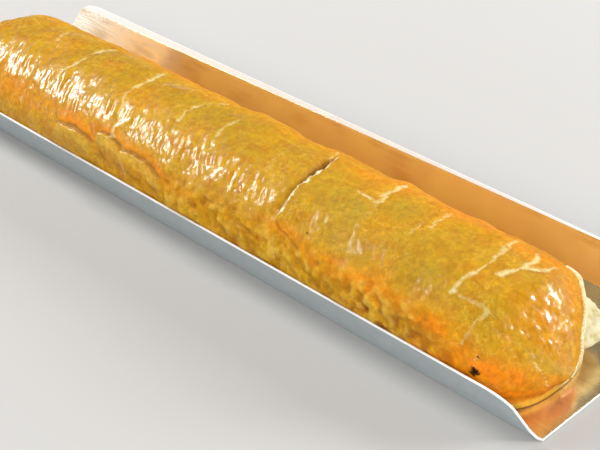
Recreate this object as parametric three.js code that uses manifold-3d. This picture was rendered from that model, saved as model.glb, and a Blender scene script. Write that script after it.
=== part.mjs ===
// A long glazed sausage roll lying in its folded card tray.
// Millimetres. X runs along the roll, Y across it, Z up.
// The origin is under the middle of the tray, on the surface that it stands on.

import * as THREE from 'three';
import { mergeVertices } from 'three/addons/utils/BufferGeometryUtils.js';
import Module from 'manifold-3d';

const wasm = await Module();
wasm.setup();

// Driving dimensions of the card tray.
const TRAY_LENGTH = 370.6;
const FLOOR_WIDTH = 87.6;
const WALL_SLOPE_HEIGHT = 18.2;
const WALL_LEAN = THREE.MathUtils.degToRad(25.6);
const CARD_THICKNESS = 1.0;
const FOLD_RADIUS = 1.6;

// The cut of the wall's two ends, in the flat card.
const END_FOOT = 3.2;
const END_FOOT_FADE = 1.2;
const END_SLANT = 0.38;
const CORNER_HEIGHT = 5.0;
const CORNER_RUN = 10.0;

// Driving dimensions of the roll.
const ROLL_LEFT = -154.6;
const ROLL_RIGHT = 177.8;
const ROLL_MIDDLE_Y = -18.2;
const HALF_WIDTH = 32.4;
const WIDEST_Z = 20.2;
const CROWN_RISE = 20.1;
const BELLY_DROP = 23.0;
const CROWN_POWER = 2.2;
const BELLY_POWER = 2.4;
const TOUCH_GAP = 0.35;

// The two closed ends.
const RIGHT_CAP = 19.0;
const RIGHT_CAP_POWER = 1.5;
const RIGHT_TAPER_RUN = 35.0;
const RIGHT_TAPER = 0.26;
const LEFT_CAP = 20.0;
const LEFT_CAP_POWER = 2.3;
const CAP_PIVOT_Z = 8.7;

// The base sheet that stands out as a lip under the right end.
const LIP_REACH = 173.8;
const LIP_HALF_WIDTH = 24.0;
const LIP_CORNER = 13.0;
const LIP_POWER = 2.6;
const LIP_HEIGHT = 3.4;
const LIP_START = 140.0;
const LIP_SPREAD = 1.5;
const LIP_EDGE = 0.8;

// The gentle waves of the risen crust: along the roll, and how they twist round it.
const UNEVENNESS = 0.45;
const LONG_WAVE = 13.7;
const LONG_TWIST = 1.3;
const SHORT_WAVE = 6.1;
const SHORT_TWIST = 2.1;
const SHORT_SHARE = 0.7;

// Cracks of the glaze.
const CRACK_DEPTH = 0.75;
const CRACK_HALF_WIDTH = 1.9;
const CRACK_FADE = [0.8, 1.15];

// The tear across the top: its place, the angles that it runs between, and its raised edge and gap.
const TEAR_X = 57.8;
const TEAR_FROM = 60;
const TEAR_TO = 146;
const TEAR_LEAN = 8.5;
const TEAR_BOW = 3.0;
const TEAR_START_FADE = [-6, 10];
const TEAR_END_FADE = [-14, 6];
const TEAR_STEP = 1.5;
const TEAR_EDGE = [-0.4, 0.6];
const TEAR_CREST = 1.5;
const TEAR_GAP_DEPTH = 2.2;
const TEAR_GAP_OFFSET = 1.0;
const TEAR_GAP_HALF_WIDTH = 1.6;
const TEAR_GAP_LEAST = 0.35;
const TEAR_DEEPEST = 82;
const TEAR_DEEP_SPREAD = 14;
const TEAR_PULL = 14.0;
const TEAR_RINGS = [-4.2, -1.8, -0.5, 0.7, 2.6];
const TEAR_CLEAR = 5.0;

// Lobes of the lower layer, which lie over the crust: their step, and their spread in degrees.
const FLAP_STEP = 1.7;
const FLAP_EDGE = 2.0;
const FLAP_CREST = 6.0;
const FLAP_SPREAD = 20.0;
const FLAP_ROUNDING = 3.0;
const FLAP_SIDES = [0.75, 1.1];
const FLAP_VALLEY = 3.0;
const FLAP_VALLEY_SHARE = 0.5;

// Where the relief fades: towards the tips, and towards the flat underside.
const TIP_FADE = [0.15, 0.6];
const BELLY_FADE = [-0.75, -0.3];

// The dough inside, and where it pushes out at the far corner of the right end.
const CRUST_THICKNESS = 5.0;
const DOUGH_LEFT = -145.0;
const DOUGH_RIGHT = 174.3;
const DOUGH_TURN_START = 134.0;
const DOUGH_MOUTH_Y = 4.0;
const DOUGH_MOUTH_Z = 11.6;
const DOUGH_MOUTH_HALF_WIDTH = 12.5;
const DOUGH_MOUTH_HALF_HEIGHT = 7.2;
const DOUGH_LUMP = 0.9;
const DOUGH_LUMP_LENGTHS = [1.9, 1.3];
const DOUGH_FREE_X = 158.0;
const DOUGH_FREE_RUN = 6.0;
const DOUGH_GAP = 0.4;

// Facets.
const RING_SIDES = 44;
const RING_STEP = 4.4;
const CAP_RINGS = 9;
const DOUGH_SIDES = 28;
const DOUGH_RINGS = 26;
const FOLD_STEPS = 4;
const WALL_STEPS = 12;

/**
 * Cracks of the glaze. Each runs round the roll: its place along the roll at
 * its middle, the angles from and to which it runs (0 is the far side, 90 the
 * top and 180 the near side), and how far it leans and bows along the roll.
 */
const CRACKS = [
  { x: -109.5, from: 58, to: 93, lean: 13, bow: 0 },
  { x: -84.0, from: 52, to: 124, lean: 2, bow: -1.5 },
  { x: -92.5, from: 138, to: 168, lean: 0, bow: -1.5 },
  { x: -45.0, from: 52, to: 147, lean: 21, bow: -2 },
  { x: -30.0, from: 66, to: 92, lean: -5, bow: 3 },
  { x: -15.5, from: 60, to: 106, lean: -3, bow: -3 },
  { x: 6.5, from: 66, to: 116, lean: 8, bow: 0 },
  { x: 38.0, from: 66, to: 113, lean: 7, bow: 0 },
  { x: 86.0, from: 52, to: 91, lean: 5, bow: 0 },
  { x: 93.0, from: 91, to: 146, lean: 10, bow: -3 },
  { x: 111.0, from: 60, to: 104, lean: 1, bow: 2 },
  { x: 140.0, from: 46, to: 130, lean: 3, bow: 1.5 },
  { x: 149.5, from: 52, to: 98, lean: 1, bow: 2.5 },
  { x: 153.5, from: 126, to: 164, lean: 2, bow: 0 },
  { x: 173.0, from: 128, to: 176, lean: 4, bow: 0 },
];

/** Lobes of the lower layer on the near side: each one's ends, its upper edge's angle, and its dip. */
const FLAPS = [
  { from: -66, to: -40.5, edge: 158.5, dip: 3 },
  { from: -39.5, to: -25.5, edge: 149, dip: 2 },
  { from: -26.5, to: 3, edge: 153, dip: 9 },
];

/** A smooth step from 0 to 1 as a value goes from low to high. */
function smooth(value, low, high) {
  const t = THREE.MathUtils.clamp((value - low) / (high - low), 0, 1);
  return t * t * (3 - 2 * t);
}

/** A round hill of height 1 and the given half width. */
function hill(distance, halfWidth) {
  return Math.exp(-((distance / halfWidth) ** 2));
}

/** A cosine or sine raised to a superellipse's power, with its sign kept. */
function rounded(value, power) {
  return Math.sign(value) * Math.abs(value) ** (2 / power);
}

/** The inner face of the near wall at a height, as a place across the roll. */
function nearWallInside(z) {
  const faceShift = CARD_THICKNESS / Math.cos(WALL_LEAN);
  return -FLOOR_WIDTH / 2 - z * Math.tan(WALL_LEAN) + faceShift;
}

/** The height of the tray's walls. */
const wallTop = WALL_SLOPE_HEIGHT * Math.cos(WALL_LEAN);

/** How full the roll is at a place along it, 1 along its middle and 0 at its tips. */
function fullness(x) {
  const fromRight = ROLL_RIGHT - x;
  const taper = THREE.MathUtils.clamp(1 - fromRight / RIGHT_TAPER_RUN, 0, 1);
  const right = THREE.MathUtils.clamp(1 - fromRight / RIGHT_CAP, 0, 1);
  const left = THREE.MathUtils.clamp(1 - (x - ROLL_LEFT) / LEFT_CAP, 0, 1);
  const rightShare = Math.max(0, 1 - right ** RIGHT_CAP_POWER) ** (1 / RIGHT_CAP_POWER);
  const leftShare = Math.max(0, 1 - left ** LEFT_CAP_POWER) ** (1 / LEFT_CAP_POWER);
  return (1 - RIGHT_TAPER * taper * taper) * rightShare * leftShare;
}

/** The height of the roll's underside: on the tray, then under the nose that hangs over the lip. */
function undersideAt(x, share) {
  const onTray = CARD_THICKNESS + TOUCH_GAP;
  if (x < 0) {
    return CAP_PIVOT_Z + (onTray - CAP_PIVOT_Z) * share;
  }
  const past = THREE.MathUtils.clamp((x - LIP_REACH) / (ROLL_RIGHT - LIP_REACH), 0, 1);
  const underNose = THREE.MathUtils.lerp(LIP_HEIGHT, CAP_PIVOT_Z, past);
  return THREE.MathUtils.lerp(onTray, underNose, smooth(x, LIP_REACH, LIP_REACH + LIP_EDGE));
}

/** The half width of the base sheet under the right end, 0 beyond its lip. */
function lipHalfWidth(x) {
  const along = THREE.MathUtils.clamp((x - LIP_REACH + LIP_CORNER) / LIP_CORNER, 0, 1);
  return LIP_HALF_WIDTH * (1 - along ** LIP_POWER) ** (1 / LIP_POWER);
}

/** A point of the smooth rounded section, before its relief. */
function sectionPoint(x, angle) {
  const share = fullness(x);
  const across = Math.cos(angle);
  const up = Math.sin(angle);
  const widestZ = CAP_PIVOT_Z + (WIDEST_Z - CAP_PIVOT_Z) * share;
  if (up >= 0) {
    const y = ROLL_MIDDLE_Y + HALF_WIDTH * share * rounded(across, CROWN_POWER);
    return new THREE.Vector3(x, y, widestZ + CROWN_RISE * share * rounded(up, CROWN_POWER));
  }
  const underside = undersideAt(x, share);
  const depth = (widestZ - underside) / (WIDEST_Z - CARD_THICKNESS - TOUCH_GAP);
  const z = Math.max(widestZ + BELLY_DROP * depth * rounded(up, BELLY_POWER), underside);
  const low = smooth(-up, 0.35, 0.75) * smooth(x, LIP_START, LIP_REACH - LIP_CORNER);
  const bodyOffset = HALF_WIDTH * share * rounded(across, BELLY_POWER);
  const lipOffset = lipHalfWidth(x) * THREE.MathUtils.clamp(across * LIP_SPREAD, -1, 1);
  return new THREE.Vector3(x, ROLL_MIDDLE_Y + THREE.MathUtils.lerp(bodyOffset, lipOffset, low), z);
}

/** Where a crack runs at an angle, and how open it is there. */
function crackAt(crack, degrees) {
  const middle = (crack.from + crack.to) / 2;
  const half = (crack.to - crack.from) / 2;
  const along = (degrees - middle) / half;
  const open = 1 - smooth(Math.abs(along), ...CRACK_FADE);
  return { x: crack.x + (crack.lean / 2) * along + crack.bow * (1 - along * along), open };
}

/** Where the tear runs at an angle. */
function tearLine(degrees) {
  const middle = (TEAR_FROM + TEAR_TO) / 2;
  const along = (degrees - middle) / (TEAR_TO - TEAR_FROM);
  return TEAR_X + TEAR_LEAN * along - TEAR_BOW * along * along;
}

/** How open the tear is at an angle. */
function tearOpen(degrees) {
  const started = smooth(degrees - TEAR_FROM, ...TEAR_START_FADE);
  const ended = smooth(degrees - TEAR_TO, ...TEAR_END_FADE);
  return started * (1 - ended);
}

/** The gentle unevenness of the risen crust. */
function unevenRelief(x, radians) {
  const long = Math.sin(x / LONG_WAVE + LONG_TWIST * Math.sin(2 * radians));
  const short = Math.sin(x / SHORT_WAVE + SHORT_TWIST * Math.cos(3 * radians) + 1);
  return UNEVENNESS * (long + SHORT_SHARE * short);
}

/** The shallow valleys of the cracks. */
function crackRelief(x, degrees) {
  let out = 0;
  for (const crack of CRACKS) {
    const place = crackAt(crack, degrees);
    out -= CRACK_DEPTH * place.open * hill(x - place.x, CRACK_HALF_WIDTH);
  }
  return out;
}

/** The tear: the crust stands up past it, and a gap lies before it. */
function tearRelief(x, degrees) {
  const past = x - tearLine(degrees);
  const raised = smooth(past, ...TEAR_EDGE) * (1 - smooth(past, TEAR_CREST, TEAR_PULL));
  const deep = THREE.MathUtils.lerp(TEAR_GAP_LEAST, 1, hill(degrees - TEAR_DEEPEST, TEAR_DEEP_SPREAD));
  const gap = hill(past + TEAR_GAP_OFFSET, TEAR_GAP_HALF_WIDTH) * deep;
  return tearOpen(degrees) * (TEAR_STEP * raised - TEAR_GAP_DEPTH * gap);
}

/** The lower layer's lobes: each stands out below its upper edge, with a valley above it. */
function flapRelief(x, degrees) {
  let out = 0;
  for (const flap of FLAPS) {
    const along = (2 * x - flap.from - flap.to) / (flap.to - flap.from);
    const inside = 1 - smooth(Math.abs(along), ...FLAP_SIDES);
    const edge = flap.edge + flap.dip * Math.max(0, along) + FLAP_ROUNDING * along * along;
    const below = degrees - edge;
    const crest = 1 - smooth(below, FLAP_CREST, FLAP_CREST + FLAP_SPREAD);
    const lobe = smooth(below, -FLAP_EDGE, FLAP_EDGE) * crest;
    const valley = FLAP_VALLEY_SHARE * hill(below + FLAP_VALLEY, FLAP_VALLEY);
    out += FLAP_STEP * inside * (lobe - valley);
  }
  return out;
}

/** How far the crust stands out or in at a place, in millimetres. */
function relief(x, degrees) {
  const waves = unevenRelief(x, THREE.MathUtils.degToRad(degrees));
  return waves + crackRelief(x, degrees) + tearRelief(x, degrees) + flapRelief(x, degrees);
}

/** A point of the crust, with its relief, clear of the tray. */
function crustPoint(x, angle) {
  const degrees = THREE.MathUtils.radToDeg(angle);
  const share = fullness(x);
  const point = sectionPoint(x, angle);
  const middle = new THREE.Vector3(x, ROLL_MIDDLE_Y, WIDEST_Z);
  const outward = point.clone().sub(middle).normalize();
  const strength = smooth(share, ...TIP_FADE) * smooth(Math.sin(angle), ...BELLY_FADE);
  point.addScaledVector(outward, relief(x, degrees) * strength);
  if (point.z < wallTop + CARD_THICKNESS) {
    point.y = Math.max(point.y, nearWallInside(point.z) + TOUCH_GAP);
  }
  return point;
}

/** A closed mesh over rings of points, with a single point at either tip. */
function closedRings(rings, firstTip, lastTip) {
  const sides = rings[0].length;
  const points = [firstTip, ...rings.flat(), lastTip];
  const lastIndex = points.length - 1;
  const faces = [];
  const at = (ring, side) => 1 + ring * sides + (side % sides);
  for (let side = 0; side < sides; side += 1) {
    faces.push(0, at(0, side + 1), at(0, side));
    faces.push(lastIndex, at(rings.length - 1, side), at(rings.length - 1, side + 1));
    for (let ring = 0; ring + 1 < rings.length; ring += 1) {
      faces.push(at(ring, side), at(ring + 1, side + 1), at(ring + 1, side));
      faces.push(at(ring, side), at(ring, side + 1), at(ring + 1, side + 1));
    }
  }
  const geometry = new THREE.BufferGeometry();
  geometry.setAttribute('position', new THREE.Float32BufferAttribute(points.flatMap((p) => p.toArray()), 3));
  geometry.setIndex(faces);
  return geometry;
}

/** A closed mesh as a solid that can be cut. */
function toSolid(geometry) {
  const bare = geometry.clone();
  bare.deleteAttribute('normal');
  bare.deleteAttribute('uv');
  const merged = mergeVertices(bare, 1e-4);
  const mesh = new wasm.Mesh({
    numProp: 3,
    vertProperties: new Float32Array(merged.attributes.position.array),
    triVerts: new Uint32Array(merged.index.array),
  });
  return new wasm.Manifold(mesh);
}

/** A cut solid as a mesh again. */
function toGeometry(solid) {
  const mesh = solid.getMesh();
  const geometry = new THREE.BufferGeometry();
  geometry.setAttribute('position', new THREE.BufferAttribute(mesh.vertProperties, 3));
  geometry.setIndex(new THREE.BufferAttribute(mesh.triVerts, 1));
  return geometry;
}

/** The places of the crust's rings: close at the caps and at the tear, even between. */
function ringPlaces() {
  const places = [];
  for (let i = 1; i <= CAP_RINGS; i += 1) {
    const turn = (i / CAP_RINGS) * (Math.PI / 2);
    places.push(ROLL_LEFT + LEFT_CAP * (1 - Math.cos(turn)));
    places.push(ROLL_RIGHT - RIGHT_CAP * (1 - Math.cos(turn)));
  }
  places.push(LIP_REACH - LIP_EDGE, LIP_REACH, LIP_REACH + LIP_EDGE);
  const start = ROLL_LEFT + LEFT_CAP;
  const end = ROLL_RIGHT - RIGHT_CAP;
  const count = Math.round((end - start) / RING_STEP);
  for (let i = 1; i < count; i += 1) {
    const x = start + ((end - start) * i) / count;
    if (Math.abs(x - TEAR_X) > TEAR_CLEAR) {
      places.push(x);
    }
  }
  for (const offset of TEAR_RINGS) {
    places.push(TEAR_X + offset);
  }
  return places.sort((a, b) => a - b);
}

/** The crust as a solid lump, still without its hollow. */
function makeCrustLump() {
  const rings = ringPlaces().map((place) => {
    const ring = [];
    for (let side = 0; side < RING_SIDES; side += 1) {
      const angle = (side / RING_SIDES) * 2 * Math.PI;
      const degrees = THREE.MathUtils.radToDeg(angle);
      const pull = hill(place - TEAR_X, TEAR_PULL) * tearOpen(degrees);
      const x = place + (tearLine(degrees) - TEAR_X) * pull;
      ring.push(crustPoint(x, angle));
    }
    return ring;
  });
  const leftTip = new THREE.Vector3(ROLL_LEFT, ROLL_MIDDLE_Y, CAP_PIVOT_Z);
  const rightTip = new THREE.Vector3(ROLL_RIGHT, ROLL_MIDDLE_Y, CAP_PIVOT_Z);
  return closedRings(rings, leftTip, rightTip);
}

/** The run of dough, or of the hollow that it fills, with some room round it. */
function makeDoughRun(room) {
  const rings = [];
  const length = DOUGH_RIGHT - DOUGH_LEFT;
  for (let i = 0; i < DOUGH_RINGS; i += 1) {
    const x = DOUGH_LEFT + (length * (1 - Math.cos(((i + 0.5) / DOUGH_RINGS) * Math.PI))) / 2;
    const turn = smooth(x, DOUGH_TURN_START, DOUGH_FREE_X + DOUGH_FREE_RUN);
    const leftEnd = THREE.MathUtils.clamp(1 - (x - DOUGH_LEFT) / LEFT_CAP, 0, 1);
    const rightEnd = THREE.MathUtils.clamp(1 - (DOUGH_RIGHT - x) / DOUGH_MOUTH_HALF_WIDTH, 0, 1);
    const share = Math.sqrt(1 - leftEnd ** 2) * Math.sqrt(1 - rightEnd ** 2);
    const halfWidth = THREE.MathUtils.lerp(HALF_WIDTH - CRUST_THICKNESS, DOUGH_MOUTH_HALF_WIDTH, turn);
    const halfHeight = THREE.MathUtils.lerp(CROWN_RISE - CRUST_THICKNESS, DOUGH_MOUTH_HALF_HEIGHT, turn);
    const middleY = THREE.MathUtils.lerp(ROLL_MIDDLE_Y, DOUGH_MOUTH_Y, turn);
    const middleZ = THREE.MathUtils.lerp(WIDEST_Z, DOUGH_MOUTH_Z, turn);
    const ring = [];
    for (let side = 0; side < DOUGH_SIDES; side += 1) {
      const angle = (side / DOUGH_SIDES) * 2 * Math.PI;
      const [longLump, shortLump] = DOUGH_LUMP_LENGTHS;
      const wobble = Math.sin(3 * angle + x / longLump) + Math.sin(5 * angle - x / shortLump + 1);
      const swell = DOUGH_LUMP * smooth(x, DOUGH_FREE_X, DOUGH_FREE_X + DOUGH_FREE_RUN) * wobble;
      const y = middleY + ((halfWidth + swell) * share + room) * Math.cos(angle);
      const z = middleZ + ((halfHeight + swell) * share + room) * Math.sin(angle);
      ring.push(new THREE.Vector3(x, y, z));
    }
    rings.push(ring);
  }
  const leftTip = new THREE.Vector3(DOUGH_LEFT - room, ROLL_MIDDLE_Y, WIDEST_Z);
  const rightTip = new THREE.Vector3(DOUGH_RIGHT + room, DOUGH_MOUTH_Y, DOUGH_MOUTH_Z);
  return closedRings(rings, leftTip, rightTip);
}

/** How far a wall's end is cut back from the floor's end, up the slope of the card. */
function endCut(up) {
  const foot = END_FOOT * (1 - Math.exp(-up / END_FOOT_FADE));
  const corner = THREE.MathUtils.clamp((up - WALL_SLOPE_HEIGHT + CORNER_HEIGHT) / CORNER_HEIGHT, 0, 1);
  return foot + END_SLANT * up + CORNER_RUN * (1 - Math.sqrt(1 - corner * corner));
}

/** One half of the tray's bent card, from its middle out: place, height, facing and slope height. */
function cardStations() {
  const stations = [{ y: 0, z: 0, bend: 0, up: 0 }];
  const bendTotal = Math.PI / 2 - WALL_LEAN;
  const setback = FOLD_RADIUS * Math.tan(bendTotal / 2);
  const flat = FLOOR_WIDTH / 2 - setback;
  for (let i = 0; i <= FOLD_STEPS; i += 1) {
    const bend = (i / FOLD_STEPS) * bendTotal;
    stations.push({
      y: flat + FOLD_RADIUS * Math.sin(bend),
      z: FOLD_RADIUS * (1 - Math.cos(bend)),
      bend,
      up: (i / FOLD_STEPS) * setback,
    });
  }
  for (let i = 1; i <= WALL_STEPS; i += 1) {
    const part = Math.sin((i / WALL_STEPS) * (Math.PI / 2));
    const up = THREE.MathUtils.lerp(setback, WALL_SLOPE_HEIGHT, part);
    stations.push({
      y: FLOOR_WIDTH / 2 + up * Math.sin(WALL_LEAN),
      z: up * Math.cos(WALL_LEAN),
      bend: bendTotal,
      up,
    });
  }
  return stations;
}

/** The folded card tray: one sheet of card bent up along both sides. */
function makeTray() {
  const half = cardStations();
  const mirrored = half.slice(1).reverse().map((s) => ({ ...s, y: -s.y, bend: -s.bend }));
  const stations = [...mirrored, ...half];
  const points = [];
  for (const station of stations) {
    const reach = TRAY_LENGTH / 2 - endCut(station.up);
    const inward = [-Math.sin(station.bend) * CARD_THICKNESS, Math.cos(station.bend) * CARD_THICKNESS];
    for (const x of [-reach, reach]) {
      points.push(new THREE.Vector3(x, station.y, station.z));
      points.push(new THREE.Vector3(x, station.y + inward[0], station.z + inward[1]));
    }
  }
  const faces = [];
  const quad = (a, b, c, d) => faces.push(a, b, c, a, c, d);
  for (let i = 0; i + 1 < stations.length; i += 1) {
    const [lowLeft, highLeft, lowRight, highRight] = [0, 1, 2, 3].map((k) => 4 * i + k);
    quad(lowLeft, lowLeft + 4, lowRight + 4, lowRight);
    quad(highLeft, highRight, highRight + 4, highLeft + 4);
    quad(lowLeft, highLeft, highLeft + 4, lowLeft + 4);
    quad(lowRight, lowRight + 4, highRight + 4, highRight);
  }
  const last = 4 * (stations.length - 1);
  quad(0, 2, 3, 1);
  quad(last, last + 1, last + 3, last + 2);
  const geometry = new THREE.BufferGeometry();
  geometry.setAttribute('position', new THREE.Float32BufferAttribute(points.flatMap((p) => p.toArray()), 3));
  geometry.setIndex(faces);
  return geometry;
}

/** Adds a named piece with its own finish to the object. */
function addPiece(group, name, geometry, finish) {
  geometry.computeVertexNormals();
  const mesh = new THREE.Mesh(geometry, new THREE.MeshStandardMaterial(finish));
  mesh.name = name;
  group.add(mesh);
}

const crust = toSolid(makeCrustLump()).subtract(toSolid(makeDoughRun(DOUGH_GAP)));

const sausageRoll = new THREE.Group();
addPiece(sausageRoll, 'pastry_case', toGeometry(crust), { color: '#d59a32', roughness: 0.35, metalness: 0 });
addPiece(sausageRoll, 'inner_dough', makeDoughRun(0), { color: '#f0e6b4', roughness: 0.8, metalness: 0 });
addPiece(sausageRoll, 'card_tray', makeTray(), { color: '#d9a036', roughness: 0.35, metalness: 0.6 });

export default sausageRoll;
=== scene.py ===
"""A long glazed sausage roll lying in its folded card tray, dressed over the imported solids."""

import logging
import math
from dataclasses import dataclass, field
from enum import Enum

import bpy
import numpy as np
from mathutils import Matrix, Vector


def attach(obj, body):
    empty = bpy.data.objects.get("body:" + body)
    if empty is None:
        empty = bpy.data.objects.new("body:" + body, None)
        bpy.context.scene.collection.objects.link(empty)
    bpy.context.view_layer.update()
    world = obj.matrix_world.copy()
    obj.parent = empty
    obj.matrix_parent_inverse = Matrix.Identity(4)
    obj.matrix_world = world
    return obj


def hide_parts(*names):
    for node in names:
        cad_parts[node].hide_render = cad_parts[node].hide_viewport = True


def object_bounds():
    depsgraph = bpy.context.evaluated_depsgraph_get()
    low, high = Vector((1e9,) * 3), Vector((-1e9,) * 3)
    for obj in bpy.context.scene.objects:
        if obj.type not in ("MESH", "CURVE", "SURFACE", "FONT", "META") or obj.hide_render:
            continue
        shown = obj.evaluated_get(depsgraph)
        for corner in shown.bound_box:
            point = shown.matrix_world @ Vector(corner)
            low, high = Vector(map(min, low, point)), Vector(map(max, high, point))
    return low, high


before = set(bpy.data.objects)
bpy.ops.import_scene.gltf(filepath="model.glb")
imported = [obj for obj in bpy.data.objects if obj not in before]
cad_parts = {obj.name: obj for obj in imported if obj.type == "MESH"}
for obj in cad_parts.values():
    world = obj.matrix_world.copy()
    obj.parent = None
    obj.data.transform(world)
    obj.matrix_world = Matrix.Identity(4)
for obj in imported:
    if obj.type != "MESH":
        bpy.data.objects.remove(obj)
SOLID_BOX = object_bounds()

MM = 0.001
TINY = 1e-9
BODY = "root"
log = logging.getLogger("sausage_roll")

Ramp = tuple[float, float]
Tree = bpy.types.NodeTree
Socket = bpy.types.NodeSocket

# The names of the values on the points, other than the masks, that materials read.
AROUND = "around"
DOUGH_SHADE = "hollow"
# Inside marks the card's inner layer, which its finish paints lit white against a shaded grey outer face.
INSIDE = "inside"

# A mix node's setting for colours, its inputs' numbers and its output's.
BLEND = {"data_type": "RGBA"}
FACTOR, UNDER, OVER = 0, 6, 7
MIXED = 2


class Mask(Enum):
    """The masks that a crust's points carry for its finish."""

    # Orange is mostly browning, with painted shade above the lobes' edges and painted light from the foil
    # under the nose.
    ORANGE = "orange"
    OLIVE = "olive"
    # Partly browning, partly painted shade: by the tray's wall, in creases, grooves, sunk folds and the
    # tear's gap.
    BROWN_AND_SHADE = "brown_and_shade"
    # Partly paler pastry, partly painted light on the lobes and the risen folds.
    PALE_AND_LIT = "pale"
    CRACK = "crack"
    RAW = "raw"
    BURNT = "burnt"
    DRY = "dry"


def smooth(value: np.ndarray, low: float, high: float) -> np.ndarray:
    """A smooth step from 0 to 1.

    Args:
        value: The values to step.
        low: Where the step starts.
        high: Where it is complete.

    Returns:
        The stepped values.
    """
    t = np.clip((value - low) / (high - low), 0.0, 1.0)
    return t * t * (3.0 - 2.0 * t)


def hill(distance: np.ndarray, half_width: float) -> np.ndarray:
    """A round hill of height 1 at distance 0."""
    return np.exp(-((distance / half_width) ** 2))


def rounded(value: np.ndarray, power: float) -> np.ndarray:
    """A cosine or sine raised to a superellipse's power, with its sign kept."""
    return np.sign(value) * np.abs(value) ** (2.0 / power)


def at_least(share: np.ndarray, least: float) -> np.ndarray:
    """A share from 0 to 1, squeezed so that it starts at its least value."""
    return least + (1.0 - least) * share


def held_below(value: np.ndarray, limit: float, bend: float = 1.0, rise: float = 0.9) -> np.ndarray:
    """Values that bend smoothly away from a limit.

    Args:
        value: The values, in millimetres.
        limit: The limit.
        bend: How far below the limit they start to bend.
        rise: How far they rise from there at most.

    Returns:
        The values, all below the limit.
    """
    over = np.maximum(value - limit + bend, 0.0)
    return np.where(over > 0.0, limit - bend + rise * np.tanh(over / rise), value)


@dataclass(frozen=True)
class LatticeNoise:
    """Smooth random values on a repeating lattice, the same on every run."""

    seed: int
    size_mm: float | tuple[float, float, float] = 1.0
    height: float = 1.0
    cells: int = 48

    def at(self, points: np.ndarray) -> np.ndarray:
        """Values between about the height below 0 and the height above it.

        Args:
            points: An array whose last axis holds three coordinates, in millimetres.

        Returns:
            One value for each point.
        """
        lattice = np.random.default_rng(self.seed).uniform(-1.0, 1.0, (self.cells,) * 3)
        places = points / np.array(self.size_mm)
        base = np.floor(places).astype(int)
        part = places - base
        part = part * part * (3.0 - 2.0 * part)
        total = np.zeros(points.shape[:-1])
        for corner in np.ndindex(2, 2, 2):
            index = (base + corner) % self.cells
            share = np.prod(np.where(corner, part, 1.0 - part), axis=-1)
            total += share * lattice[index[..., 0], index[..., 1], index[..., 2]]
        return self.height * total


def layered(noises: tuple[LatticeNoise, ...], points: np.ndarray) -> np.ndarray:
    """The sum of a few noises at points."""
    return sum(noise.at(points) for noise in noises)


@dataclass(frozen=True)
class TrayForm:
    """Sizes of the bent card, in millimetres."""

    length: float = 370.6
    floor_width: float = 87.6
    wall_slope: float = 18.2
    lean: float = math.radians(25.6)
    thickness: float = 1.0
    fold_radius: float = 1.6
    end_foot: float = 3.2
    end_foot_fade: float = 1.2
    end_slant: float = 0.38
    corner_height: float = 5.0
    corner_run: float = 10.0

    @property
    def wall_top(self) -> float:
        """The height of the walls' outer edge."""
        return self.wall_slope * math.cos(self.lean)

    def near_wall_inside(self, z: np.ndarray) -> np.ndarray:
        """The inner face of the near wall at a height, as a place across the tray."""
        return -self.floor_width / 2 - z * math.tan(self.lean) + self.thickness / math.cos(self.lean)

    def end_cut(self, up: np.ndarray) -> np.ndarray:
        """How far a wall's end is cut back from the floor's end, up the slope of the card.

        Args:
            up: The way up the slope.

        Returns:
            How far the end is cut back there.
        """
        foot = self.end_foot * (1.0 - np.exp(-up / self.end_foot_fade))
        corner = np.clip((up - self.wall_slope + self.corner_height) / self.corner_height, 0.0, 1.0)
        return foot + self.end_slant * up + self.corner_run * (1.0 - np.sqrt(1.0 - corner**2))


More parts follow.
